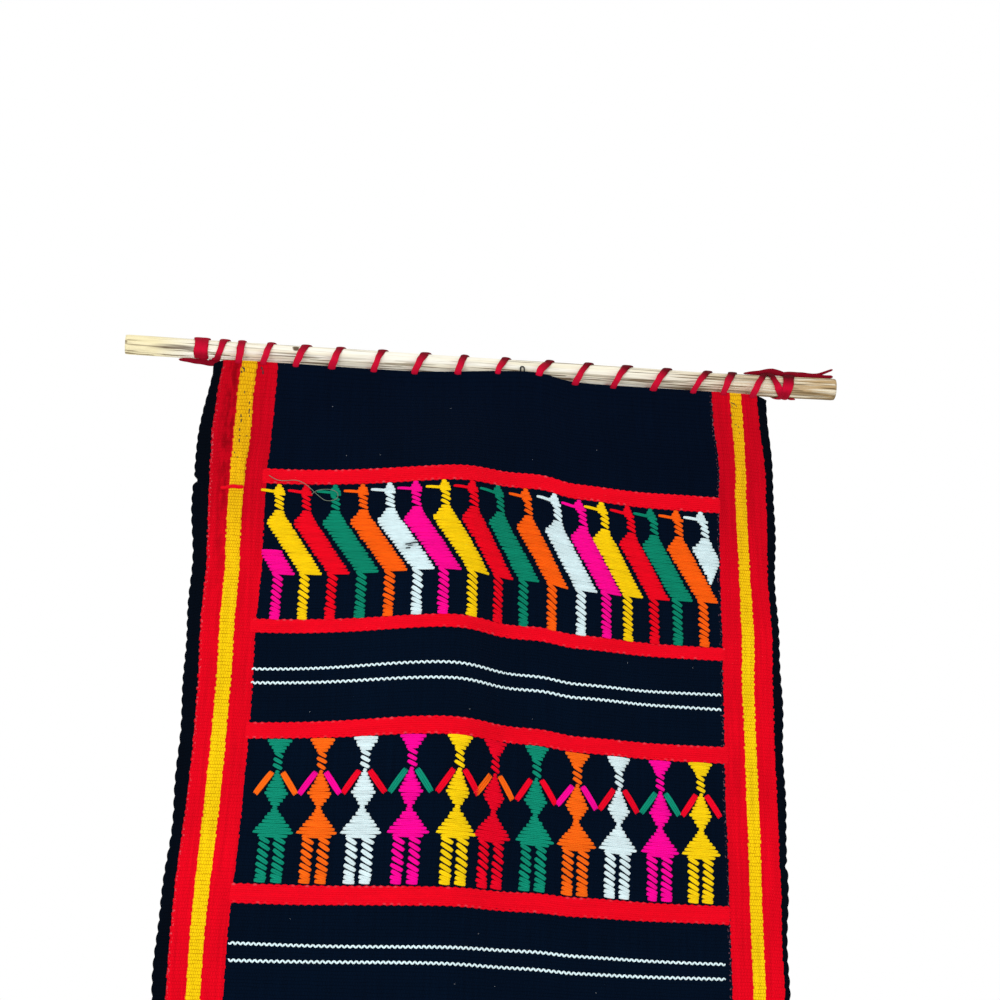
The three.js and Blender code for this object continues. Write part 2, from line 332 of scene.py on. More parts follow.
def smooth_path(points: Array, count: int) -> Array:
    """Runs a smooth curve through points, at even steps.

    It is a centripetal Catmull-Rom curve: between two points, three rounds of straight mixing over knots
    that lie the square root of each distance apart.

    Args:
        points: The points that the curve goes through.
        count: How many points to give back.

    Returns:
        Points at equal distances along the curve.
    """
    ends = np.concatenate([2 * points[:1] - points[1:2], points, 2 * points[-1:] - points[-2:-1]])
    knots = np.concatenate([[0], np.cumsum(np.linalg.norm(np.diff(ends, axis=0), axis=1) ** 0.5)])
    i = np.arange(len(points) - 1)[:, None]
    k = [knots[i + n] for n in range(4)]
    q = [ends[i + n] for n in range(4)]
    t = k[1] + (k[2] - k[1]) * np.linspace(0, 1, 40, endpoint=False)

    def mix(a: Array, b: Array, low: Array, high: Array) -> Array:
        """Mixes two points by the share of t between two knots."""
        share = ((t - low) / (high - low))[..., None]
        return a * (1 - share) + b * share

    a = [mix(q[n], q[n + 1], k[n], k[n + 1]) for n in range(3)]
    b = [mix(a[n], a[n + 1], k[n], k[n + 2]) for n in range(2)]
    curve = np.concatenate([mix(b[0], b[1], k[1], k[2]).reshape(-1, 3), points[-1:]])
    run = np.concatenate([[0], np.cumsum(np.linalg.norm(np.diff(curve, axis=0), axis=1))])
    at = np.linspace(0, run[-1], count)
    return np.stack([np.interp(at, run, curve[:, n]) for n in range(3)], -1)


class Wiring:
    """Short words for putting nodes into a tree. A given socket is linked, any other value is set."""

    def __init__(self, tree: bpy.types.NodeTree) -> None:
        """Keeps the tree and empties it."""
        self.tree = tree
        tree.nodes.clear()

    def add(self, kind: str, inputs: dict[Any, Any] | None = None, **settings: Any) -> bpy.types.Node:
        """Adds a node.

        Args:
            kind: Its type, without the ShaderNode in front, or the whole type of a group's end.
            inputs: Values or sockets for its inputs, by name or number.
            **settings: Its own settings.

        Returns:
            The node.
        """
        node = self.tree.nodes.new(kind if kind.startswith("NodeGroup") else "ShaderNode" + kind)
        for name, value in settings.items():
            setattr(node, name, value)
        for name, value in (inputs or {}).items():
            self.put(node.inputs[name], value)
        return node

    def put(self, socket: bpy.types.NodeSocket, value: Any) -> None:
        """Links a socket to an input, or sets the input's own value.

        Args:
            socket: The input.
            value: The socket or the value.
        """
        if isinstance(value, bpy.types.NodeSocket):
            self.tree.links.new(value, socket)
        else:
            socket.default_value = value

    def math(self, operation: str, *terms: Any) -> bpy.types.NodeSocket:
        """Adds one sum of numbers and gives its result."""
        return self.add("Math", dict(enumerate(terms)), operation=operation).outputs[0]

    def mix(self, share: Any, a: Any, b: Any, blend: str = "MIX") -> bpy.types.NodeSocket:
        """Mixes two colours and gives the result."""
        return self.add("Mix", {0: share, 6: a, 7: b}, data_type="RGBA", blend_type=blend).outputs[2]

    def tint(self, colour: Any, tone: Any) -> bpy.types.NodeSocket:
        """Makes a colour lighter or darker by a factor."""
        return self.add("VectorMath", {0: colour, 3: tone}, operation="SCALE").outputs[0]

    def stretch(self, place: Any, by: Sequence[float]) -> bpy.types.NodeSocket:
        """Stretches a place by a factor on each axis."""
        return self.add("Mapping", {"Vector": place, "Scale": by}).outputs[0]

    def cloud(self, place: Any, by: Sequence[float], detail: float = 2.0) -> bpy.types.NodeSocket:
        """Gives a cloudy value from 0 to 1 over a stretched place."""
        noise = {"Vector": self.stretch(place, by), "Scale": 1.0, "Detail": detail}
        return self.add("TexNoise", noise).outputs[0]

    def spread(self, value: Any, low: float, high: float, to_low: float, to_high: float) -> Any:
        """Carries a range of values over to another, without going past its ends."""
        inputs = {0: value, 1: low, 2: high, 3: to_low, 4: to_high}
        return self.add("MapRange", inputs, clamp=True).outputs[0]

    def steps(self, value: Any, stops: Sequence[tuple[float, Any]], sharp: bool = True) -> Any:
        """Gives a colour by steps along a value from 0 to 1.

        Args:
            value: The value.
            stops: Where each colour starts, and the colour.
            sharp: Whether the colours change at once.

        Returns:
            The colour.
        """
        node = self.add("ValToRGB", {0: value})
        ramp = node.color_ramp
        ramp.interpolation = "CONSTANT" if sharp else "LINEAR"
        for at, _ in stops[2:]:
            ramp.elements.new(at)
        for element, (at, colour) in zip(ramp.elements, stops, strict=True):
            element.position, element.color = at, colour
        return node.outputs[0]

    def levels(self, value: Any, stops: Sequence[tuple[float, float]], sharp: bool = True) -> Any:
        """Gives a value by steps along another one, as steps gives a colour."""
        greys = [(at, (level, level, level, 1)) for at, level in stops]
        return self.add("RGBToBW", {0: self.steps(value, greys, sharp)}).outputs[0]

    def coat(self, inputs: dict[str, Any]) -> None:
        """Puts in the shader with its inputs and joins it to the output."""
        self.add("OutputMaterial", {0: self.add("BsdfPrincipled", inputs).outputs[0]})


def new_finish(name: str) -> tuple[bpy.types.Material, Wiring, bpy.types.NodeSocket]:
    """Starts a finish.

    Args:
        name: The material's name.

    Returns:
        The material, its wiring, and the place on the object.
    """
    material = bpy.data.materials.new(name)
    material.use_nodes = True
    wiring = Wiring(material.node_tree)
    return material, wiring, wiring.add("TexCoord").outputs["Object"]


def new_group(
    name: str, inputs: dict[str, str], outputs: dict[str, str]
) -> tuple[bpy.types.NodeTree, Wiring, Any]:
    """Starts a node group with named sockets.

    Args:
        name: The group's name.
        inputs: Kind of each input by its name.
        outputs: Kind of each output by its name.

    Returns:
        The group, its wiring, and the node that brings its inputs in.
    """
    group = bpy.data.node_groups.new(name, "ShaderNodeTree")
    wiring = Wiring(group)
    for sockets, side in ((inputs, "INPUT"), (outputs, "OUTPUT")):
        for socket, kind in sockets.items():
            group.interface.new_socket(name=socket, in_out=side, socket_type="NodeSocket" + kind)
    return group, wiring, wiring.add("NodeGroupInput")


def warp_ribs() -> bpy.types.NodeTree:
    """Builds the effect of a warp-faced weave: ribs along the weft, each a row of short warp floats.

    In each rib the warps stand side by side, half a warp further in every second rib. The height is a
    parabola over the rib times a parabola over the warp.

    Returns:
        The group. Height is 0 to 1, Crevice is 1 in the gaps, Jag shifts a colour change from rib to rib.
    """
    group, w, given = new_group(
        "warp_ribs",
        {"Loom": "Vector", "Rib pitch": "Float", "Warp pitch": "Float"},
        {"Height": "Float", "Crevice": "Float", "Jag": "Float"},
    )
    place = w.add("SeparateXYZ", {0: given.outputs["Loom"]})
    wander = w.cloud(given.outputs["Loom"], (0.16, 0.3, 1.0))
    rib = w.math("DIVIDE", place.outputs[1], given.outputs["Rib pitch"])
    rib = w.math("MULTIPLY_ADD", w.math("SUBTRACT", wander, 0.5), 0.9, rib)
    odd = w.math("MULTIPLY", w.math("FLOORED_MODULO", w.math("FLOOR", rib), 2.0), 0.5)
    warp = w.math("ADD", w.math("DIVIDE", place.outputs[0], given.outputs["Warp pitch"]), odd)

    def bulge(value: Any) -> bpy.types.NodeSocket:
        """Gives a parabola that is 1 in the middle of each whole step and 0 at its ends."""
        centred = w.math("MULTIPLY_ADD", w.math("FRACT", value), 2.0, -1.0)
        return w.math("SUBTRACT", 1.0, w.math("MULTIPLY", centred, centred))

    height = w.math("MULTIPLY", w.math("SQRT", bulge(rib)), w.math("SQRT", bulge(warp)))
    scatter = w.add("TexWhiteNoise", {"Vector": w.add("CombineXYZ", {1: w.math("FLOOR", rib)}).outputs[0]})
    jag = w.math("ADD", w.math("SUBTRACT", odd, 0.25), w.math("SUBTRACT", scatter.outputs[0], 0.5))
    gap_shade = w.spread(height, 0.1, 0.62, 1.0, 0.0)
    w.add("NodeGroupOutput", {"Height": height, "Crevice": gap_shade, "Jag": jag})
    return group


def spun_fibres() -> bpy.types.NodeTree:
    """Builds the effect of spun yarn: fine fibres that run slanting round the yarn.

    Returns:
        The group. Tone is a value round 1 that a colour is multiplied by, Height is 0 to 1.
    """
    group, w, given = new_group(
        "spun_fibres",
        {"Loom": "Vector", "Slant": "Float", "Contrast": "Float"},
        {"Tone": "Float", "Height": "Float"},
    )
    place = w.add("SeparateXYZ", {0: given.outputs["Loom"]})
    lay = w.math("MULTIPLY_ADD", place.outputs[0], given.outputs["Slant"], place.outputs[1])
    fibre = w.add("CombineXYZ", {0: place.outputs[0], 1: lay}).outputs[0]
    fine = w.cloud(fibre, (0.35, 16.0, 1.0), 3.0)
    slow = w.cloud(given.outputs["Loom"], (0.22, 0.6, 1.0))
    both = w.math("ADD", w.math("SUBTRACT", fine, 0.5), w.math("SUBTRACT", slow, 0.5))
    tone = w.math("MULTIPLY_ADD", both, given.outputs["Contrast"], 1.0)
    w.add("NodeGroupOutput", {"Tone": tone, "Height": fine})
    return group


def cloudy_wear() -> bpy.types.NodeTree:
    """Builds the effect of uneven dye and handling: a slow cloud over a colour, by object place.

    Returns:
        The group. Colour is the given one, lighter and darker in patches, and Cloud is their value, 0 to 1.
    """
    group, w, given = new_group(
        "cloudy_wear",
        {"Place": "Vector", "Colour": "Color", "Amount": "Float", "Scale": "Float"},
        {"Colour": "Color", "Cloud": "Float"},
    )
    cloud = w.add(
        "TexNoise", {"Vector": given.outputs["Place"], "Scale": given.outputs["Scale"], "Detail": 3.0}
    ).outputs[0]
    tone = w.math("MULTIPLY_ADD", w.math("SUBTRACT", cloud, 0.5), given.outputs["Amount"], 1.0)
    w.add("NodeGroupOutput", {"Colour": w.tint(given.outputs["Colour"], tone), "Cloud": cloud})
    return group


@dataclass(frozen=True)
class Effects:
    """The shader effects that the finishes share."""

    ribs: bpy.types.NodeTree
    fibres: bpy.types.NodeTree
    wear: bpy.types.NodeTree

    def worn(self, w: Wiring, place: Any, colour: Any, amount: float, scale: float) -> Any:
        """Puts the cloud of wear over a colour and gives the group's outputs."""
        inputs = {"Place": place, "Colour": colour, "Amount": amount, "Scale": scale}
        return w.add("Group", inputs, node_tree=self.wear).outputs


# Where each warp stripe starts, counted across from the middle of a cloth with straight stripes
STRIPES = (
    (-130.0, Dye.SELVEDGE),
    (-121.0, Dye.BORDER_RED),
    (-113.0, Dye.BORDER_YELLOW),
    (-107.0, Dye.BORDER_RED),
    (-98.0, Dye.BLACK),
    (100.8, Dye.BORDER_RED),
    (108.8, Dye.BORDER_YELLOW),
    (114.7, Dye.BORDER_RED),
    (122.4, Dye.SELVEDGE),
)
# How each dye is tinted towards the top of the cloth, and how deep the painted shade between its warps is
TOP_TINT = {
    Dye.BLACK: (0.9, 0.8, 0.9),
    Dye.SELVEDGE: (0.9, 0.8, 0.8),
    Dye.BORDER_RED: (0.74, 0.8, 0.9),
    Dye.BORDER_YELLOW: (0.88, 0.73, 1.3),
}
GAP_SHADE_DEPTH = {Dye.BLACK: 0.5, Dye.SELVEDGE: 0.5, Dye.BORDER_RED: 0.32, Dye.BORDER_YELLOW: 1.0}


@dataclass(frozen=True)
class GroundFinish:
    """Warp-faced ground: black field and selvedges between red and yellow warp stripes."""

    rib: float = RIB
    warp: float = 1.02
    wear: tuple[float, float] = (0.35, 28.0)
    half: float = 130.0
    jag: float = 0.4
    tick: Colour = (196, 132, 148)
    tick_half: float = 0.42
    toward_top: tuple[float, float] = (40.0, 130.0)
    # Colour of the painted shade in the gaps between warps
    gap: tuple[float, ...] = (0.5, 0.36, 0.26, 1)
    # Colour of the painted shadow beside the left yellow stripe
    shadow: tuple[float, ...] = (0.5, 0.3, 0.5, 1)
    stripes: tuple[tuple[float, Dye], ...] = STRIPES
    # Where the painted shadow beside the left yellow stripe lies across the cloth, and how deep
    shadow_stops: Table = ((-119, 0), (-116.2, 1), (-113.6, 1), (-113, 0), (-107, 0), (-106.8, 0.9), (-105.2, 0))

    def share(self, at: float) -> float:
        """Turns a place across the cloth into a share of its width."""
        return 0.5 + 0.5 * at / self.half

    def material(self, effects: Effects) -> bpy.types.Material:
        """Builds the finish.

        Stripes follow the loom places, with an edge that jumps from rib to rib and pale ticks where red meets
        black. The top is tinted darker, with painted shadows beside the left yellow stripe, and its picks lie
        further apart. Painted shade darkens the gaps between the warps.

        Args:
            effects: The shared shader effects.

        Returns:
            The material.
        """
        material, w, place = new_finish("woven_ground")
        loom = w.add("UVMap", uv_map="Loom").outputs[0]
        across, down, _ = w.add("SeparateXYZ", {0: loom}).outputs
        decay = w.math("EXPONENT", w.math("DIVIDE", down, -LOOSE_REACH))
        rows = w.math("MULTIPLY_ADD", decay, LOOSENING, down)
        pitches = {"Rib pitch": self.rib, "Warp pitch": self.warp}
        loosened = w.add("CombineXYZ", {0: across, 1: rows}).outputs[0]
        ribs = w.add("Group", {"Loom": loosened, **pitches}, node_tree=effects.ribs).outputs
        shifted = w.math("MULTIPLY_ADD", ribs["Jag"], self.jag, across)
        share = w.math("MULTIPLY_ADD", shifted, 0.5 / self.half, 0.5)

        def by_stripe(colours: dict[Dye, Any]) -> bpy.types.NodeSocket:
            """Gives each stripe a colour of its own."""
            return w.steps(share, [(self.share(at), (*colours[dye], 1)) for at, dye in self.stripes])

        colour = by_stripe({dye: dye.light for dye in Dye})
        colour = w.tint(colour, w.spread(w.cloud(loom, (0.85, 0.03, 1.0)), 0.25, 0.75, 0.86, 1.12))
        # Each dye is multiplied by its top tint, most at the top of the cloth
        toward_top = w.spread(down, *self.toward_top, 1.0, 0.0)
        colour = w.mix(toward_top, colour, by_stripe(TOP_TINT), "MULTIPLY")
        # Painted shadow in the valley beside the left yellow stripe, in patches, towards the top
        valley_shadow = w.levels(share, [(self.share(at), shade_depth) for at, shade_depth in self.shadow_stops], False)
        patches = w.spread(w.cloud(loom, (0.5, 0.14, 1.0), 3.0), 0.4, 0.58, 0.1, 0.85)
        valley_shadow = w.math("MULTIPLY", w.math("MULTIPLY", valley_shadow, patches), toward_top)
        colour = w.mix(valley_shadow, colour, self.shadow, "MULTIPLY")
        dark = (Dye.BLACK, Dye.SELVEDGE)
        edges = [at for (_, one), (at, other) in pairwise(self.stripes) if one in dark or other in dark]
        marks = [(0.0, 0.0)]
        for at in edges:
            marks += [(self.share(at - self.tick_half), 1.0), (self.share(at + self.tick_half), 0.0)]
        speck = w.spread(w.cloud(loom, (1.3, 0.9, 1.0), 1.0), 0.57, 0.66, 0.0, 0.28)
        colour = w.mix(w.math("MULTIPLY", w.levels(share, marks), speck), colour, shade(self.tick))
        # Painted shade in the gaps between the warps, deepest on yellow and uneven in patches
        shade_depth = w.levels(share, [(self.share(at), GAP_SHADE_DEPTH[dye]) for at, dye in self.stripes])
        uneven = w.spread(w.cloud(loom, (0.3, 0.8, 1.0)), 0.32, 0.68, 0.2, 1.5)
        gap_shade = w.math("MULTIPLY", w.math("MULTIPLY", ribs["Crevice"], shade_depth), uneven)
        colour = w.mix(1.0, colour, w.mix(gap_shade, (1, 1, 1, 1), self.gap), "MULTIPLY")
        fuzz = w.cloud(loom, (2.4, 1.1, 1.0), 3.0)
        relief = w.math("MULTIPLY_ADD", fuzz, 0.35, ribs["Height"])
        w.coat({
            "Base Color": effects.worn(w, place, colour, *self.wear)["Colour"],
            "Roughness": w.spread(fuzz, 0.2, 0.8, 0.78, 0.94),
            "Normal": w.add("Bump", {"Strength": 0.55, "Distance": 0.0004, "Height": relief}).outputs[0],
            "Specular IOR Level": 0.03,
        })
        return material


@dataclass(frozen=True)
class YarnFinish:
    """Spun yarn whose colour comes with the mesh."""

    name: str
    slant: float = 0.12
    contrast: float = 0.34
    relief: float = 0.00025
    gloss: float = 0.06
    wear: tuple[float, float] = (0.2, 45.0)

    def material(self, effects: Effects) -> bpy.types.Material:
        """Builds the finish: the yarn's own dye, fibres, and a cloud of handling.

        Args:
            effects: The shared shader effects.

        Returns:
            The material.
        """
        material, w, place = new_finish(self.name)
        loom = w.add("UVMap", uv_map="Loom").outputs[0]
        dye = w.add("Attribute", attribute_name="dye", attribute_type="GEOMETRY").outputs["Color"]
        spun = {"Loom": loom, "Slant": self.slant, "Contrast": self.contrast}
        fibres = w.add("Group", spun, node_tree=effects.fibres).outputs
        bump = {"Strength": 0.5, "Distance": self.relief, "Height": fibres["Height"]}
        w.coat({
            "Base Color": effects.worn(w, place, w.tint(dye, fibres["Tone"]), *self.wear)["Colour"],
            "Roughness": w.spread(fibres["Height"], 0.2, 0.8, 0.62, 0.85),
            "Normal": w.add("Bump", bump).outputs[0],
            "Specular IOR Level": self.gloss,
        })
        return material


@dataclass(frozen=True)
class WoodFinish:
    """Split pale wood: brown fibres, a golden left end, a fibrous brown right end, a knot, a scar, and dark
    strokes along its rims that are partly grain and partly painted shade.
    """

    pale: Colour = (252, 249, 236)
    tan: Colour = (241, 233, 206)
    line: Colour = (112, 90, 54)
    left: Colour = (240, 226, 172)
    right: Colour = (184, 150, 96)
    dark: Colour = (84, 60, 32)
    knot: tuple[float, float, float] = (-0.088, -0.0043, 0.0012)
    scar: tuple[float, float, float] = (-0.140, -0.0036, -0.0026)
    scar_stretch: float = 0.16
    wear: tuple[float, float] = (0.16, 30.0)

    def material(self, effects: Effects) -> bpy.types.Material:
        """Builds the finish from noise drawn out along the stick.

        Args:
            effects: The shared shader effects.

        Returns:
            The material.
        """
        material, w, place = new_finish("split_wood")
        x, _, z = w.add("SeparateXYZ", {0: place}).outputs
        broad = w.cloud(place, (9, 420, 420), 3.0)
        fine = w.cloud(place, (60, 2600, 2600), 4.0)
        lines = w.cloud(place, (20, 1150, 1150), 1.5)
        dashes = w.cloud(place, (45, 1100, 1100), 1.0)
        fading = w.cloud(place, (26, 300, 300))
        colour = w.mix(w.spread(broad, 0.35, 0.68, 0.0, 1.0), shade(self.pale), shade(self.tan))
        colour = w.mix(w.spread(x, -0.134, -0.15, 0.0, 0.75), colour, shade(self.left))
        at_right = w.spread(x, 0.06, 0.152, 0.0, 0.9)
        patchy = w.math("MULTIPLY", at_right, w.spread(dashes, 0.4, 0.52, 0.3, 1.0))
        colour = w.mix(patchy, colour, shade(self.right))
        denser = w.math("ADD", lines, w.spread(x, 0.06, 0.145, 0.0, 0.085))
        shown = w.spread(fading, 0.36, 0.56, 0.25, 1.0)
        grain = w.math("MULTIPLY", w.spread(denser, 0.595, 0.625, 0.0, 1.0), shown)
        hair = w.math("MULTIPLY", w.spread(fine, 0.57, 0.66, 0.0, 0.4), w.spread(x, 0.05, 0.15, 0.6, 1.6))
        # Dark strokes along the rims: grain, with painted shade, strongest on the underside
        under, over = w.spread(z, -0.0014, -0.0036, 0.05, 1.0), w.spread(z, 0.003, 0.0042, 0.05, 0.6)
        rim = w.math("MAXIMUM", under, over)
        rim_grain_and_shade = w.math("MULTIPLY", w.spread(dashes, 0.585, 0.61, 0.0, 0.9), rim)
        strong = w.math("MAXIMUM", w.math("MAXIMUM", grain, hair), rim_grain_and_shade)
        colour = w.mix(w.math("MINIMUM", strong, 0.92), colour, shade(self.line))

        def away(spot: Any, centre: Sequence[float]) -> bpy.types.NodeSocket:
            """Gives the distance from a place."""
            return w.add("VectorMath", {0: spot, 1: centre}, operation="DISTANCE").outputs["Value"]

        ragged = w.math("MULTIPLY_ADD", fine, 0.0012, away(place, self.knot))
        knot = w.spread(ragged, 0.0019, 0.0024, 0.95, 0.0)
        flat = w.stretch(place, (self.scar_stretch, 1.0, 1.0))
        scar = away(flat, (self.scar[0] * self.scar_stretch, *self.scar[1:]))
        splinters = w.spread(lines, 0.46, 0.54, 0.0, 0.85)
        torn = w.math("MULTIPLY", w.spread(scar, 0.001, 0.0022, 1.0, 0.0), splinters)
        colour = w.mix(w.math("MAXIMUM", knot, torn), colour, shade(self.dark))
        relief = w.math("SUBTRACT", w.math("MULTIPLY", fine, 0.7), w.math("MULTIPLY", grain, 0.5))
        w.coat({
            "Base Color": effects.worn(w, place, colour, *self.wear)["Colour"],
            "Roughness": w.spread(fine, 0.3, 0.7, 0.55, 0.8),
            "Normal": w.add("Bump", {"Strength": 0.5, "Distance": 0.0003, "Height": relief}).outputs[0],
            "Specular IOR Level": 0.3,
        })
        return material


@dataclass(frozen=True)
class SteelFinish:
    """Dull staple wire, darker in patches."""

    colour: Colour = (44, 45, 44)
    wear: tuple[float, float] = (0.9, 900.0)

    def material(self, effects: Effects) -> bpy.types.Material:
        """Builds the finish.

        Args:
            effects: The shared shader effects.

        Returns:
            The material.
        """
        material, w, place = new_finish("staple_wire")
        worn = effects.worn(w, place, shade(self.colour), *self.wear)
        w.coat({
            "Base Color": worn["Colour"],
            "Metallic": 1.0,
            "Roughness": w.spread(worn["Cloud"], 0.3, 0.7, 0.35, 0.6),
        })
        return material


@dataclass(frozen=True)
class Drape:
    """How the cloth hangs: flat at the stick, then with a soft belly, a crease and swung sides."""

    width: float = 253.0
    length: float = 333.6
    hem: float = -340.0
    hang: float = -5.95
    front: float = 0.72
    top_edge: Table = (
        (-124, -11.5), (-119, -9.2), (-94, -8.8), (-33, -8.5), (2, -5.7), (14, -5), (23, -5.4), (37, -8.7),
        (94, -9), (121, -9.4), (127, -12),
    )
    selvedges: Table = (
        (-8, -123.4, 126.4), (-28, -126.6, 126.9), (-57, -128.6, 127.5), (-103, -125.7, 127),
        (-130, -126.2, 127.3), (-170, -125, 126.8), (-215, -125.8, 127.2), (-260, -127.8, 126.8),
        (-300, -127.4, 126.6), (-340, -126.4, 126.8),
    )
    belly: Table = (
        (-8, 0, -6, 44, 40), (-16, 0.2, -7, 44, 40), (-60, 14.5, -13, 45, 38), (-135, 20, -17, 45, 36),
        (-174, 22.5, -19, 47, 38), (-246, 11, -17, 44, 36), (-340, 4, -15, 46, 40),
    )
    swing: Table = (
        (-8, 0, 0), (-30, 0, 0), (-135, -4, 2), (-174, -3.5, 0.5), (-246, -2, 7.5), (-340, -2, 8),
    )
    crease: Table = (
        (-8, 0), (-15, 0), (-27, 1.8), (-60, 4.4), (-135, 6.2), (-157, 6), (-178, 5.4), (-243, 4.2),
        (-266, 2.6), (-340, 1),
    )
    crease_at: tuple[float, float] = (6.0, 14.0)
    ridge_at: tuple[float, float] = (46.0, 17.0)
    ridge: float = 0.6

    def middle(self, u: Array, p: Array) -> Array:
        """Places points of the cloth's middle surface.

        Down the cloth the height goes evenly from the top edge to the hem, and across it from selvedge to
        selvedge. Towards the viewer stands the belly, a bell curve round its crest, less the crease with a
        ridge beside it. The sides swing by an eased mix of the two selvedges' swings.

        Args:
            u: Millimetres across from the middle.
            p: Millimetres down from the top edge.

        Returns:
            The points, with a last axis of 3.
        """
        across, down = u / self.width + 0.5, p / self.length
        start = along(self.top_edge, 0.0)
        level = start + (self.hem - start) * down
        left, right = along(self.selvedges, level, 1), along(self.selvedges, level, 2)
        x = left + (right - left) * across
        top = along(self.top_edge, x)
        z = top + (self.hem - top) * down
        off = x - along(self.belly, z, 2)
        spread = np.where(off < 0, along(self.belly, z, 3), along(self.belly, z, 4))
        belly = along(self.belly, z, 1) * swell(off, spread)
        (low, wide), (high, beside) = self.crease_at, self.ridge_at
        fold = swell(x - low, wide) - self.ridge * swell(x - high, beside)
        crease = along(self.crease, z) * fold
        side = np.clip(across, 0, 1)
        ease = 3 * side**2 - 2 * side**3
        swing = along(self.swing, z, 1) * (1 - ease) + along(self.swing, z, 2) * ease
        return np.stack([x, self.hang - belly + crease + swing, z], -1)

    def facing(self, u: Array, p: Array) -> Array:
        """Gives the direction out of the cloth's face: the cross product of its down and across slopes.

        Args:
            u: Millimetres across from the middle.
            p: Millimetres down from the top edge.

        Returns:
            Vectors of length 1.
        """
        step = 0.5
        across = self.middle(u + step, p) - self.middle(u - step, p)
        down = self.middle(u, p + step) - self.middle(u, p - step)
        return unit(np.cross(down, across))

    def face(self, u: Array, p: Array, lift: Any = 0.0) -> tuple[Array, Array]:
        """Places points over the cloth's face.

        Args:
            u: Millimetres across from the middle.
            p: Millimetres down from the top edge.
            lift: Millimetres over the face.

        Returns:
            The points, and the direction out of the face there.
        """
        facing = self.facing(u, p)
        reach = np.asarray(self.front + np.asarray(lift, float))[..., None]
        return self.middle(u, p) + facing * reach, facing


@dataclass
class ClothGround:
    """The cloth itself: one closed sheet with woven ribs, uneven selvedges and a turned hem."""

    drape: Drape
    columns: int = 58
    rows: int = 790
    rib_height: float = 0.11
    rise: float = 1.0
    hem_depth: float = 9.0
    hem_extra: float = 0.5
    groove: float = 0.3
    selvedge_round: float = 0.8
    end_round: float = 0.9
    edge_steps: tuple[float, ...] = (0.0, 0.25, 0.6, 1.1, 1.8, 2.8, 4.2)
    edge_reach: float = 6.0
    bake_rim: float = 0.008
    stripes: tuple[float, ...] = tuple(at for at, _ in STRIPES[1:])
    left_stripes: Table = (
        (0, -122.6, -114.6, -107.5, -98.9), (9, -122.6, -114.2, -106.9, -97.7),
        (19, -121.7, -113, -105.9, -96.6), (33, -121, -111.8, -104.4, -95.7),
        (53, -119.6, -111.2, -104.9, -95.8), (86, -120.6, -113, -107.2, -97.6),
        (114, -120.8, -113.1, -107.1, -98.2), (140, -120.6, -113.2, -107.1, -98.6),
        (158, -121, -113.9, -108.1, -99), (191, -121.2, -114.5, -108.4, -99.6),
        (219, -122, -114.6, -108.7, -99.7), (262, -121.5, -113.9, -108.7, -100),
        (334, -121.3, -114.2, -108.7, -100.4),
    )
    right_stripes: Table = (
        (0, 99.6, 108, 114.2, 121), (19, 100, 108.4, 114.3, 121.4), (33, 101.6, 109, 114.1, 122.5),
        (53, 101.2, 108.2, 113.7, 122.3), (86, 100.5, 109, 114.6, 122.2), (114, 100.4, 109, 115.3, 122.8),
        (140, 100.2, 108.3, 114.4, 122), (158, 99.7, 108.4, 114.1, 121.7), (191, 99.6, 108.6, 114.7, 122.1),
        (219, 100.7, 109.4, 115.3, 122.9), (262, 101.7, 110.4, 116.2, 123.8),
        (334, 101.7, 110.6, 116.4, 123.8),
    )

    def scallops(self, p: Array, side: int) -> Array:
        """Wobble of a selvedge where the weft turns back: a row of small rounds over slower waves.

        Args:
            p: Millimetres down from the top edge.
            side: -1 for the left selvedge, 1 for the right one.

        Returns:
            Millimetres outwards.
        """
        phase = 1.7 * side
        rounds = np.abs(np.sin(np.pi * p / 5.1 + phase + 0.9 * np.sin(p / 17 + phase)))
        waves = 0.3 * np.sin(p / 6.3 + 2 * phase) + 0.25 * np.sin(p / 13.7 - phase)
        notch = 1.5 * swell(p - 56.5, 1.6) if side < 0 else 0.9 * swell(p - 214, 1.4)
        return np.interp(p, [20, 55], [0.3, 0.55]) * (rounds - 0.6) + waves - notch

    def warp_place(self, u: Array, p: Array) -> Array:
        """Says which warp lies at a place.

        The edges of the stripes wander down the cloth. Between two edges the warps are spread evenly.

        Args:
            u: Millimetres across from the middle.
            p: Millimetres down from the top edge.

        Returns:
            Where that warp would lie in a cloth with straight stripes.
        """
        half = self.drape.width / 2
        shown = [along(table, p, n) for table in (self.left_stripes, self.right_stripes) for n in range(1, 5)]
        shown = [np.full_like(p, -half), *shown, np.full_like(p, half)]
        plain = np.array([-half, *self.stripes, half])
        warp = np.full_like(u, -half)
        for n, step in enumerate(np.diff(plain)):
            warp = warp + step * np.clip((u - shown[n]) / (shown[n + 1] - shown[n]), 0, 1)
        return warp

    def half_depth(self, u: Array, p: Array) -> Array:
        """Works out half of the sheet's thickness.

        Ribs are a parabola over each pick, looser near the top. The turned hem is a soft swelling under a
        groove. The thickness falls off on a quarter circle at the selvedges and at both ends.

        Args:
            u: Millimetres across from the middle.
            p: Millimetres down from the top edge.

        Returns:
            Millimetres from the middle surface to either face.
        """
        half, length = self.drape.width / 2, self.drape.length
        gap = np.minimum(half - np.abs(u), self.selvedge_round) / self.selvedge_round
        round_edge = np.sqrt(np.clip(1 - (1 - gap) ** 2, 0, 1))
        ends = np.clip(np.minimum(p + self.rise, length - p) / self.end_round, 0, 1)
        round_end = np.sqrt(np.clip(1 - (1 - ends) ** 2, 0, 1)) * 0.85 + 0.15
        phase = np.mod((p + LOOSENING * np.exp(-p / LOOSE_REACH)) / RIB, 1.0)
        rib = self.rib_height * (2 * (1 - (2 * phase - 1) ** 2) - 1)
        fold = self.hem_extra * swell(np.maximum(p - length + self.hem_depth - 1, 0) - 8, 5.5)
        groove = self.groove * swell(p - length + self.hem_depth, 0.7)
        return (self.drape.front + rib + fold - groove) * np.maximum(round_edge, 0.02) * round_end

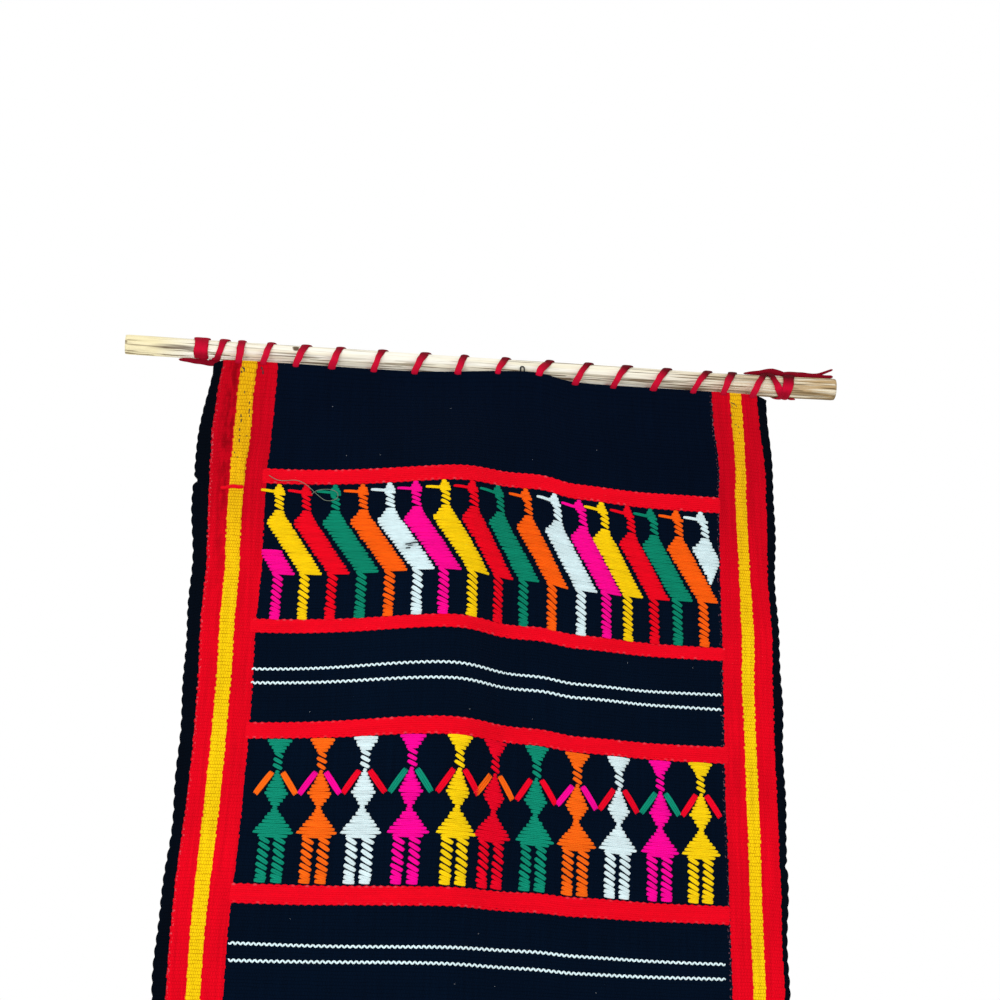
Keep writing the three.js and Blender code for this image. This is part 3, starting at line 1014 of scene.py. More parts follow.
    def bake_places(self, u: Array, p: Array, quads: Array) -> Array:
        """Spreads the sheet in the bake map: the face on the left, the back on the right, the seams as rims.

        Args:
            u: Millimetres across of the grid's points.
            p: Millimetres down of the grid's points.
            quads: The faces: front, back, then the seams at the top, foot, left and right.

        Returns:
            The place of each corner.
        """
        rows, columns = u.shape
        down = (p + self.rise) / (self.drape.length + self.rise)
        share = np.stack([u / self.drape.width + 0.5, 1 - down], -1).reshape(-1, 2)
        front = share * np.array([0.47, 0.97]) + 0.015
        bake = np.concatenate([front, front + np.array([0.5, 0.0])])[quads]
        seams = bake[2 * (rows - 1) * (columns - 1):]
        seams[..., 0] = np.where(seams[..., 0] > 0.5, seams[..., 0] - 0.5, seams[..., 0])
        push = self.bake_rim * np.array([0.0, 0.0, 1.0, 1.0])
        top, foot, left, right = np.split(seams, np.cumsum([columns - 1, columns - 1, rows - 1]))
        top[..., 1] += push[::-1]
        foot[..., 1] -= push
        left[..., 0] -= push
        right[..., 0] += push[::-1]
        return bake

    def skin(self) -> Skin:
        """Works out the sheet.

        Its face and its back are the drape's middle surface moved out both ways by half the thickness. Near
        the selvedges the points are also moved outwards by the scallops. Four seams join the two sides.

        Returns:
            The closed surface.
        """
        half, edge = self.drape.width / 2, np.array(self.edge_steps)
        inner = np.linspace(
            -half + self.edge_reach, half - self.edge_reach, self.columns - 2 * len(edge)
        )
        u = np.concatenate([-half + edge, inner, half - edge[::-1]])
        p = np.linspace(-self.rise, self.drape.length, self.rows + 1)
        grid_u, grid_p = np.meshgrid(u, p)
        near = np.clip(1 - (half - np.abs(grid_u)) / self.edge_reach, 0, 1)
        near = near**2 * (3 - 2 * near)
        wobble = np.where(grid_u < 0, -self.scallops(grid_p, -1), self.scallops(grid_p, 1))
        shown_u = grid_u + wobble * near
        middle = self.drape.middle(shown_u, grid_p)
        reach = self.drape.facing(shown_u, grid_p) * self.half_depth(grid_u, grid_p)[..., None]
        points = np.concatenate([(middle + reach).reshape(-1, 3), (middle - reach).reshape(-1, 3)])
        face, size = grid_faces(*grid_u.shape), grid_u.size

        def seam(line: Array, flip: bool) -> Array:
            """Joins the two sides along one line of points."""
            band = np.stack([line[:-1], line[1:], line[1:] + size, line[:-1] + size], -1)
            return band[:, ::-1] if flip else band

        lines = np.arange(size).reshape(grid_u.shape)
        quads = np.concatenate([
            face,
            face[:, ::-1] + size,
            seam(lines[0], True),
            seam(lines[-1], False),
            seam(lines[:, 0], False),
            seam(lines[:, -1], True),
        ])
        loom = np.stack([self.warp_place(grid_u, grid_p), grid_p], -1).reshape(-1, 2)
        loom = np.concatenate([loom, loom])
        bake = self.bake_places(grid_u, grid_p, quads)
        no_tris, no_places = np.zeros((0, 3), int), np.zeros((0, 3, 2))
        return Skin(points, quads, no_tris, loom[quads], no_places, bake, no_places)

    def build(self, material: bpy.types.Material) -> bpy.types.Object:
        """Makes the sheet, in place of the model's plain cloth.

        Args:
            material: The ground's finish.

        Returns:
            The piece.
        """
        made = self.skin().piece("cloth_ground", material, Slot.CLOTH)
        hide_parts("cloth")
        return made


@dataclass
class Picks:
    """Yarns laid over the cloth's face, from one place on it to another."""

    drape: Drape
    columns: int = 28
    dye_power: float = 1.0
    strand_pitch: float = 1.58
    dive: float = 0.55
    hand: tuple[float, float, float] = (0.15, 0.04, 0.06)
    smudge: Colour = (70, 72, 76)
    count: int = 0
    floats: list[tuple[float, ...]] = field(default_factory=list)
    dyes: list[Array] = field(default_factory=list)

    def lay(
        self,
        start: tuple[float, float],
        end: tuple[float, float],
        dye: Dye,
        strands: int = 2,
        thick: float = 0.45,
        rise: float = 0.3,
        gather: float = 0.6,
    ) -> None:
        """Notes one float of yarn as strands side by side.

        Args:
            start: Where it comes out of the cloth, as u and p.
            end: Where it goes in again.
            dye: Its colour.
            strands: How many strands lie side by side.
            thick: Half of a strand's width.
            rise: How far a strand's middle line lies over the cloth.
            gather: How much the strands draw together at the ends.
        """
        run = np.array(end) - np.array(start)
        aside = np.array([-run[1], run[0]]) / np.hypot(*run)
        for n in range(strands):
            shift = aside * (n - (strands - 1) / 2) * self.strand_pitch * thick
            self.floats.append((*start, *end, *shift, thick, rise, gather, self.count))
            self.dyes.append(dye.light)
        self.count += 1

    def skin(self, smudges: Sequence[tuple[float, float, float, float]] = ()) -> Skin:
        """Works out all floats at once.

        At share t of its way a float's place goes straight from start to end, both a little off by hand. Its
        strands lie side by side and draw together at the ends. Its lift is its rise less a seventh power of
        the distance from the middle, so that both ends dive into the cloth. Dyes are taken to a power, which
        is under 1 to make the colours paler. Neighbouring floats differ a little in colour, and a smudge
        greys them round a place.

        Args:
            smudges: Place, size and strength of each smudge, as u, p, spread and share.

        Returns:
            The floats' closed surfaces.
        """
        f = np.array(self.floats)
        u0, p0, u1, p1, aside_u, aside_p, thick, rise, gather = (f[:, n:n + 1] for n in range(9))
        rng = np.random.default_rng(11)
        number = f[:, 9].astype(int)
        miss = rng.normal(size=(self.count, 4))[number]
        tone = 1 + 0.1 * (rng.random((self.count, 1)) - 0.5)[number]
        t = np.array([[0.0, 0.1, 0.34, 0.66, 0.9, 1.0]])
        end = np.abs(2 * t - 1)
        apart = 1 - gather * end**3
        long, high, slant = self.hand
        u = u0 + (u1 - u0) * t + aside_u * apart + long * (miss[:, :1] * (1 - t) + miss[:, 1:2] * t)
        p = p0 + (p1 - p0) * t + aside_p * apart + high * miss[:, 2:3] + slant * miss[:, 3:] * (2 * t - 1)
        lift = rise + (-self.dive - rise) * end**7
        points, facing = self.drape.face(u, p, lift)
        half_width = thick * (1 - 0.45 * end**8)
        half_height = 0.8 * half_width
        dyes = np.array(self.dyes)[:, None] ** self.dye_power * tone[..., None] * np.ones((1, t.size, 1))
        for at_u, at_p, spread, share in smudges:
            grey = share * swell(np.hypot((u - at_u) * 0.6, p - at_p - 0.35 * (at_u - u)), spread)[..., None]
            dyes = dyes * (1 - grey) + linear(self.smudge) * grey
        return yarn_skin(points, facing, half_width, half_height, 6, dyes, self.columns)


@dataclass
class BirdRow:
    """The upper brocade: a row of long-necked birds that lean to the right, one yarn colour each."""

    drape: Drape
    top: float = 59.2
    first: float = -89.9
    pitch: float = 11.54
    pick: float = 1.43
    order: tuple[Dye, ...] = (Dye.YELLOW, Dye.RED, Dye.GREEN, Dye.ORANGE, Dye.WHITE, Dye.PINK)
    count: int = 17
    drift: Table = (
        (-1, 0), (0, -0.2), (1, -0.2), (2, 0.5), (3, 0.6), (4, 0.3), (5, -0.5), (6, 0), (8, 0), (9, 0.9),
        (10, 2), (11, 1.4), (12, -0.4), (13, 0), (14, -1.1), (15, -1), (16, -1.7),
    )
    lean: Table = ((-1, 0), (5, 0.3), (8, 1.0), (10, 1.5), (14, 1.7), (15, 1.2), (16, 1.9))
    leaning: Table = ((3, 0), (7, 1), (20, 1), (42, 0.1), (62, 0.1))
    crown: Table = ((0.7, -0.9, 1.2), (2.0, -1.8, 2.0), (3.3, -2.7, 2.6), (4.6, -2.3, 2.7))
    neck: tuple[float, ...] = (6.5, 8.7, 10.9)
    left_edge: Table = ((12.4, -1.8), (14.2, -2.8), (18.2, -6.7), (41.8, 8), (44, 9))
    right_edge: Table = ((12.4, 1.9), (14, 2.6), (41.8, 18.7), (44, 19.5))
    leg_picks: Table = (
        (43.6, 1.7), (46.2, 1.8), (48.9, 1.8), (51.6, 1.8), (54.2, 1.7), (56.7, 1.4), (58.9, 1.1),
        (60.7, 0.7), (62.2, 0.2),
    )

    def chart(self, picks: Picks, place: int, dye: Dye, top_row: float, limit: float, leg: bool) -> None:
        """Charts one bird: crown, beak, twisted neck, leaning body and one twisted leg.

        Args:
            picks: Where the floats are noted.
            place: Its place in the row, counted from 0.
            dye: The bird's colour.
            top_row: First row that is worked, in millimetres under the band.
            limit: Place across the cloth that no float goes past on the left (negative) or right.
            leg: Whether the leg is worked. A bird without it is cut to a point at the border.
        """
        axis = self.first + place * self.pitch + float(along(self.drift, place))
        lean = float(along(self.lean, place))

        def lay(u0: float, v0: float, u1: float, v1: float, *sizes: float) -> None:
            """Notes a float if the field's edge leaves any of it.

            Args:
                u0: Its start, across from the neck.
                v0: Its start, down from the band.
                u1: Its end, across from the neck.
                v1: Its end, down from the band.
                *sizes: Strands, thickness and rise, as for the picks.
            """
            edge = limit if leg else limit + 1.2 - 0.43 * max(v0 - 24, 0)
            keep = max if limit < 0 else min
            at = axis + lean * float(np.interp((v0 + v1) / 2, *np.transpose(self.leaning)))
            a, b = keep(at + u0, edge), keep(at + u1, edge)
            if v0 >= top_row and b - a > 0.6:
                picks.lay((a, self.top + v0), (b, self.top + v1), dye, *sizes)

        for v, left, right in self.crown:
            lay(left, v, right, v + 0.25)
        lay(-8.2, 2.9, -0.6, 4.0, 2, 0.4, 0.45)
        for v in self.neck:
            lay(-1.9, v - 1.2, 1.9, v + 1.2, 2, 0.46, 0.42)
        rows = np.arange(13.2, 42.0, self.pick)
        lefts = np.interp(rows, *np.transpose(self.left_edge))
        rights = np.interp(rows, *np.transpose(self.right_edge))
        for v, left, right in zip(rows, lefts, rights, strict=True):
            lay(left, v - 0.15, right, v + 0.35)
        if leg:
            for v, slope in self.leg_picks:
                lay(8.8, v - slope, 13.2, v + slope, 2, 0.52, 0.45)

    def build(self, material: bpy.types.Material) -> bpy.types.Object:
        """Makes the row: part of a bird at the left border, then the others, the last cut by the border.

        Args:
            material: The yarn's finish.

        Returns:
            The piece.
        """
        picks = Picks(self.drape, 38)
        self.chart(picks, -1, Dye.PINK, 31.0, -98.2, True)
        for n in range(self.count):
            last = n == self.count - 1
            self.chart(picks, n, self.order[n % len(self.order)], 0.0, 100.4, not last)
        at = self.first + 4 * self.pitch
        smudges = [(at + 9.4, self.top + 30.3, 1.2, 0.6), (at + 7.6, self.top + 31.8, 0.9, 0.6)]
        return picks.skin(smudges).piece("bird_brocade", material, Slot.CLOTH)


@dataclass
class WomenRow:
    """The lower brocade: a row of women in wide hats and skirts, hand in hand."""

    drape: Drape
    top: float = 173.9
    first: float = -84.2
    pitch: float = 17.29
    pick: float = 1.43
    bodies: tuple[Dye, ...] = (
        Dye.GREEN, Dye.ORANGE, Dye.WHITE, Dye.PINK, Dye.YELLOW, Dye.RED, Dye.GREEN, Dye.ORANGE, Dye.WHITE,
        Dye.PINK, Dye.YELLOW,
    )
    sleeves: tuple[Dye, ...] = (
        Dye.ORANGE, Dye.PINK, Dye.RED, Dye.GREEN, Dye.RED, Dye.ORANGE, Dye.RED, Dye.PINK, Dye.RED, Dye.GREEN,
        Dye.RED,
    )
    drift: Table = (
        (0, -1.7), (1, -1.5), (2, -1.4), (3, -0.3), (4, 1.2), (5, -0.8), (6, 0), (7, 0), (8, 0.3), (9, 1.1),
        (10, 1.2),
    )
    hat: Table = ((0.7, 5.6), (2.1, 4.7), (3.5, 3.6), (4.9, 2.6))
    neck: tuple[float, ...] = (6.6, 9.0, 11.4)
    half_widths: Table = ((13.2, 0.4), (22.2, 5.4), (28.3, 0.7), (37.2, 8.7), (38, 9.0), (39.3, 6.6), (40, 6))
    leg_picks: Table = (
        (41.1, 1.3), (43.7, 1.6), (46.4, 1.6), (49.1, 1.5), (51.7, 1.4), (54, 1.1), (55.8, 0.7), (57.3, 0.2),
    )

    def chart(self, picks: Picks, axis: float, body: Dye, sleeve: Dye) -> None:
        """Charts one woman: hat, twisted neck, bodice, arms, skirt and two twisted legs.

        Args:
            picks: Where the floats are noted.
            axis: Her middle across the cloth.
            body: Colour of hat, dress and legs.
            sleeve: Colour of her arms.
        """

        def lay(u0: float, v0: float, u1: float, v1: float, dye: Dye = body, *sizes: float) -> None:
            """Notes a float by places from her middle and the band."""
            picks.lay((axis + u0, self.top + v0), (axis + u1, self.top + v1), dye, *sizes)

        for v, half in self.hat:
            lay(-half, v - 0.1, half, v + 0.2)
        for v in self.neck:
            lay(-1.9, v - 1.1, 1.9, v + 1.1, body, 2, 0.46, 0.42)
        rows = np.arange(13.6, 40.0, self.pick)
        for v, half in zip(rows, np.interp(rows, *np.transpose(self.half_widths)), strict=True):
            lay(-half, v - 0.2, half, v + 0.25)
        for side in (-1, 1):
            lay(side * 1.8, 13.2, side * 8.5, 23.0, sleeve, 3, 0.5, 0.55, 0.15)
        for left, right in ((-5.6, -0.9), (0.6, 5.4)):
            for v, slope in self.leg_picks:
                lay(left, v - slope, right, v + slope, body, 2, 0.52, 0.45)

    def build(self, material: bpy.types.Material) -> bpy.types.Object:
        """Makes the row of women.

        Args:
            material: The yarn's finish.

        Returns:
            The piece.
        """
        picks = Picks(self.drape, 32, dye_power=0.9)
        for n, (body, sleeve) in enumerate(zip(self.bodies, self.sleeves, strict=True)):
            self.chart(picks, self.first + n * self.pitch + float(along(self.drift, n)), body, sleeve)
        return picks.skin().piece("women_brocade", material, Slot.CLOTH)


@dataclass
class WeftBands:
    """Red weft bands across the field, each of a few thick picks beaten close together."""

    drape: Drape
    bands: tuple[tuple[float, float, int, float], ...] = (
        (51.9, 59.0, 8, -98.2), (122.2, 128.0, 7, -101), (167.0, 173.7, 8, -101), (232.8, 240.2, 9, -101),
        (281.5, 288.5, 8, -101),
    )
    right: float = 103.0
    thick: float = 0.56
    wave: float = 2.9
    weave: float = 0.24
    bitten: Colour = (190, 128, 146)
    stations: int = 220

    def build(self, material: bpy.types.Material) -> bpy.types.Object:
        """Makes the bands.

        Each pick runs straight across, its height a low wave that is turned by half a period from pick to
        pick. The outer picks also weave in and out of the band's edge, where the black warps bite.

        Args:
            material: The yarn's finish.

        Returns:
            The piece.
        """
        t = np.linspace(0, 1, self.stations)
        rows, edge, lefts = [], [], []
        for top, foot, count, left in self.bands:
            pitch = (foot - top) / count
            lefts.append(np.full(count, left))
            rows.append(top + pitch * (np.arange(count) + 0.5))
            edge.append(np.array([-1.0] + [0.0] * (count - 2) + [1.0]))
        row, side = np.concatenate(rows)[:, None], np.concatenate(edge)[:, None]
        order = np.arange(len(row))[:, None]
        left = np.concatenate(lefts)[:, None]
        u = left + (self.right - left) * t
        wave = np.sin(2 * np.pi * u / self.wave + np.pi * order)
        slow = 0.1 * np.sin(u / 19 + 0.4 * order) + 0.05 * np.sin(u / 7.3 + order)
        p = row + slow + self.weave * side * wave
        lift = 0.2 + 0.03 * wave - 0.08 * np.abs(side)
        ends = np.clip(np.minimum(t, 1 - t) * (self.right - left) / 1.6, 0, 1)
        points, facing = self.drape.face(u, p, lift - 0.9 * (1 - ends))
        half = np.full_like(p, self.thick)
        rng = np.random.default_rng(5)
        tone = 1 + 0.05 * (rng.random((len(row), 1, 1)) - 0.5)
        bite = rng.random((len(row), self.stations))
        pale = (0.3 * bite**3 * np.abs(side) * np.clip(-2.5 * side * wave - 1.2, 0, 1))[..., None]
        dyes = Dye.RED.light * tone * (1 - pale) + linear(self.bitten) * pale
        skin = yarn_skin(points, facing, half, half * 0.6, 6, dyes, 1)
        return skin.piece("weft_bands", material, Slot.CLOTH)


@dataclass
class ZigzagPicks:
    """Two pairs of single white picks that zigzag across the black field."""

    drape: Drape
    rows: tuple[float, ...] = (144.0, 150.4, 256.1, 262.5)
    left: float = -99.4
    right: float = 100.4
    period: float = 2.12
    swing: float = 0.6
    stations: int = 760

    def build(self, material: bpy.types.Material) -> bpy.types.Object:
        """Makes the picks: each goes up and down by a triangle wave while it crosses the field.

        Args:
            material: The yarn's finish.

        Returns:
            The piece.
        """
        t = np.linspace(0, 1, self.stations)
        u = self.left + (self.right - self.left) * t
        row = np.array(self.rows)[:, None]
        order = np.arange(len(row))[:, None]
        turn = u / self.period + 0.37 * order + 0.25 * np.sin(u / 11 + order)
        zigzag = 2 / np.pi * np.arcsin(0.985 * np.sin(2 * np.pi * turn))
        p = row + self.swing * zigzag + 0.25 * np.sin(u / 23 + 2 * order)
        ends = np.clip(np.minimum(t, 1 - t) * (self.right - self.left) / 1.2, 0, 1)
        lift = 0.12 + 0.12 * np.cos(4 * np.pi * turn) - 0.7 * (1 - ends)
        points, facing = self.drape.face(u + 0 * p, p, lift)
        half = 0.37 + 0.05 * np.cos(4 * np.pi * turn)
        dyes = 1.16 * Dye.WHITE.light * np.ones((len(row), self.stations, 1))
        skin = yarn_skin(points, facing, half, half * 0.85, 6, dyes, 1)
        return skin.piece("zigzag_picks", material, Slot.CLOTH)


@dataclass
class LooseThreads:
    """Small accidents: a stray grey-green thread, a red pick over the yellow stripe, dark marks and lint."""

    drape: Drape
    stray: Table = (
        (-94.5, 55.5), (-92, 57.2), (-89.5, 58), (-86.5, 57.9), (-83.5, 57.6), (-80.5, 58.3), (-77.5, 60.4),
        (-75, 63), (-72.5, 65.4), (-70.5, 66.9), (-67.5, 67.1), (-65.2, 65.9), (-65.2, 63.6), (-67.4, 62.2),
        (-70.8, 61.9), (-74, 62.5), (-76.2, 64.2),
    )
    # Dark marks, each as u0, p0, u1, p1, thickness and rise: strokes of a stray black thread, then specks on
    # the border stripes, partly painted shade in holes and gaps of the weave
    dark_marks: Table = (
        (-37.5, 89.7, -35, 89.6, 0.3, 0.62), (-35.6, 89.5, -32.6, 89, 0.26, 0.62),
        (-37.3, 91.5, -35.2, 91.5, 0.3, 0.62), (-36.6, 90.6, -34.2, 90.4, 0.18, 0.62),
        (109.2, 4.3, 110, 4.9, 0.16, 0.2), (110.2, 4.6, 111.1, 5.3, 0.16, 0.2),
        (111.2, 5.6, 112, 6.3, 0.16, 0.2), (109.3, 5.9, 109.9, 6.5, 0.16, 0.2),
        (108.5, 10.3, 108.8, 11.4, 0.2, 0.2), (110.5, 15.1, 111.2, 15.8, 0.14, 0.2),
        (111.7, 16.2, 112.4, 16.6, 0.14, 0.2), (112, 19.2, 112.7, 19.9, 0.14, 0.2),
        (-113.7, 2.6, -113, 3.7, 0.26, 0.2), (-112.9, 3, -112.5, 4.8, 0.24, 0.2),
        (-113.9, 4.6, -113.4, 5.6, 0.2, 0.2), (-105.5, 2, -104.8, 3.4, 0.26, 0.2),
        (-104.5, 3.6, -104, 5.6, 0.26, 0.2), (-110.1, 14.2, -110, 15.8, 0.14, 0.2),
        (-107, 19.2, -106.8, 21.2, 0.16, 0.2), (-106.5, 22.8, -106.2, 25.6, 0.2, 0.2),
        (-106, 26, -105.8, 27.2, 0.14, 0.2),
        (-109.7, 25.9, -109.3, 27.6, 0.2, 0.2), (-109.2, 28.2, -108.9, 30, 0.22, 0.2),
        (-109.1, 32.9, -108.9, 34.6, 0.2, 0.2), (-108.9, 36.4, -108.3, 36.6, 0.15, 0.2),
        (-108.6, 38.1, -108.3, 39.7, 0.22, 0.2), (-105.9, 36.3, -105.3, 36.8, 0.16, 0.2),
        (-110.1, 44.7, -109.5, 45.3, 0.15, 0.2), (-108.7, 46.9, -108, 47.3, 0.15, 0.2),
    )
    lint: int = 16
    lint_rows: tuple[int, ...] = (20, 34, 45, 132, 137, 158, 163, 246, 250, 270)
    stray_dye: Colour = (112, 122, 108)
    lint_dye: Colour = (150, 156, 164)
    # Colour of the dark marks
    dark_mark_dye: Colour = (44, 52, 58)
    stations: int = 60

    def build(self, material: bpy.types.Material) -> bpy.types.Object:
        """Makes the threads, each a smooth line over the cloth's face.

        Args:
            material: The yarn's finish.

        Returns:
            The piece.
        """
        t = np.linspace(0, 1, self.stations)
        stray = smooth_path(np.array([(u, p, 0.0) for u, p in self.stray]), self.stations)
        lines = [
            (stray[:, 0], stray[:, 1], 0.95 + 0.3 * np.sin(np.linspace(0, 9, self.stations))),
            (-114.6 + 9.2 * t, 62.0 - 0.9 * t + 0.25 * np.sin(9 * t), 0.22 - 0.8 * (2 * t - 1) ** 12),
        ]
        rng = np.random.default_rng(3)
        places = rng.uniform(-92, 96, self.lint), rng.choice(self.lint_rows, self.lint)
        for u, p in zip(*places, strict=True):
            heading, size = rng.uniform(0, 6.3), rng.uniform(0.2, 0.45)
            curl = size * np.cos(heading + t) * t, size * np.sin(heading + t) * t
            lines.append((u + curl[0], p + curl[1], 0.2 + 0.25 * np.sin(np.pi * t)))
        for u0, p0, u1, p1, _, rise in self.dark_marks:
            lines.append((u0 + (u1 - u0) * t, p0 + (p1 - p0) * t, rise - 0.5 * (2 * t - 1) ** 6))
        points, facing = self.drape.face(*(np.array(part) for part in zip(*lines, strict=True)))
        sizes = [0.15, 0.9, *[0.07] * self.lint, *(dark_mark[4] for dark_mark in self.dark_marks)]
        thick = np.array(sizes)[:, None] * np.ones((1, self.stations))
        colours = np.array([
            linear(self.stray_dye),
            Dye.BORDER_RED.light,
            *[linear(self.lint_dye)] * self.lint,
            *[linear(self.dark_mark_dye)] * len(self.dark_marks),
        ])
        dyes = colours[:, None] * np.ones((1, self.stations, 1))
        skin = yarn_skin(points, facing, thick, thick * 0.8, 6, dyes, 1)
        return skin.piece("loose_threads", material, Slot.CLOTH)


@dataclass
class HangingStick:
    """The split stick that the cloth hangs from, a little thicker to the right."""

    profile: Table = (
        (-163.2, 4.4), (-142.5, 4.4), (-95, 4.3), (-30, 4.45), (20, 4.5), (85, 4.65), (142.5, 5), (160, 5.05),
    )
    bow: Table = ((-163.2, -0.5), (-30, -0.5), (20, -0.3), (60, -0.3), (100, -0.6), (130, -0.2), (160, 0.3))
    stations: int = 240
    sides: int = 96
    knot: tuple[float, float] = (-88.0, 166.0)
    ridges: Table = ((3, 0.02, 41), (5, 0.012, 27), (11, 0.009, 33), (19, 0.008, 22), (31, 0.007, 15))
    rim: tuple[float, ...] = (0.02, 0.3, 0.55, 0.78, 0.93)

    def radius(self, x: Array) -> Array:
        """Reads the stick's radius along its length."""
        return along(self.profile, x)

    def skin(self) -> Skin:
        """Works out the stick.

        It is a surface of revolution: from the middle of the left cut, out to its rim, along the stick and
        back in on the right. The radius is the profile's times 0.99 plus low fibre ridges, which are cosines
        of several multiples of the angle that drift slowly along the stick, less a small dent round the knot.
        Two more cosines make the cut ends rough.

        Returns:
            The closed surface.
        """
        left, right = self.profile[0][0], self.profile[-1][0]
        body = np.linspace(0, 1, self.stations)
        cut = len(self.rim)
        x = np.concatenate([np.full(cut, left), left + (right - left) * body, np.full(cut, right)])
        scale = np.concatenate([self.rim, np.ones(self.stations), self.rim[::-1]])
        worn = 1 - 0.04 * (swell(x - left, 0.5) + swell(x - right, 0.5)) * (scale > 0.99)
        angle = np.arange(self.sides) * 2 * np.pi / self.sides
        fibres = np.zeros((len(x), self.sides))
        for many, size, drift in self.ridges:
            fibres += size * np.cos(many * angle + 1.3 * many + 1.4 * np.sin(x / drift + many)[:, None])
        turn = np.rad2deg(angle)
        dent = 0.1 * swell(x - self.knot[0], 1.9)[:, None] * swell(turn - self.knot[1], 16)
        rough = np.cos(9 * angle) * 0.22 + np.cos(14 * angle + 2) * 0.18
        reach = self.radius(x)[:, None] * (0.99 + fibres - dent) * (scale * worn)[:, None]
        side = np.where(x == left, -1.0, np.where(x == right, 1.0, 0.0))
        torn = (side * scale * (1 - scale))[:, None] * rough * 2
        bow = along(self.bow, x)[:, None]
        rings = np.stack([x[:, None] - torn, reach * np.cos(angle), reach * np.sin(angle) + bow], -1)
        tips = np.array([[left, 0, self.bow[0][1]], [right, 0, self.bow[-1][1]]], float)
        faces = tube_faces(len(x), self.sides)
        run = np.linspace(0.01, 0.99, len(x))
        ends = np.repeat(np.array([[0.003, 0.01, 0.01], [0.997, 0.99, 0.99]]), self.sides, axis=0)
        quad_places = np.stack([run[faces.quad_ring], 0.02 + 0.96 * faces.quad_turn], -1)
        tri_places = np.stack([ends, 0.02 + 0.96 * faces.tri_turn], -1)
        points = np.concatenate([rings.reshape(-1, 3), tips])
        return Skin(points, faces.quads, faces.tris, quad_places, tri_places, quad_places, tri_places)

    def build(self, material: bpy.types.Material) -> bpy.types.Object:
        """Makes the stick, in place of the model's plain one.

        Args:
            material: The wood's finish.

        Returns:
            The piece.
        """
        made = self.skin().piece("hanging_stick", material, Slot.STICK)
        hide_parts("stick")
        return made


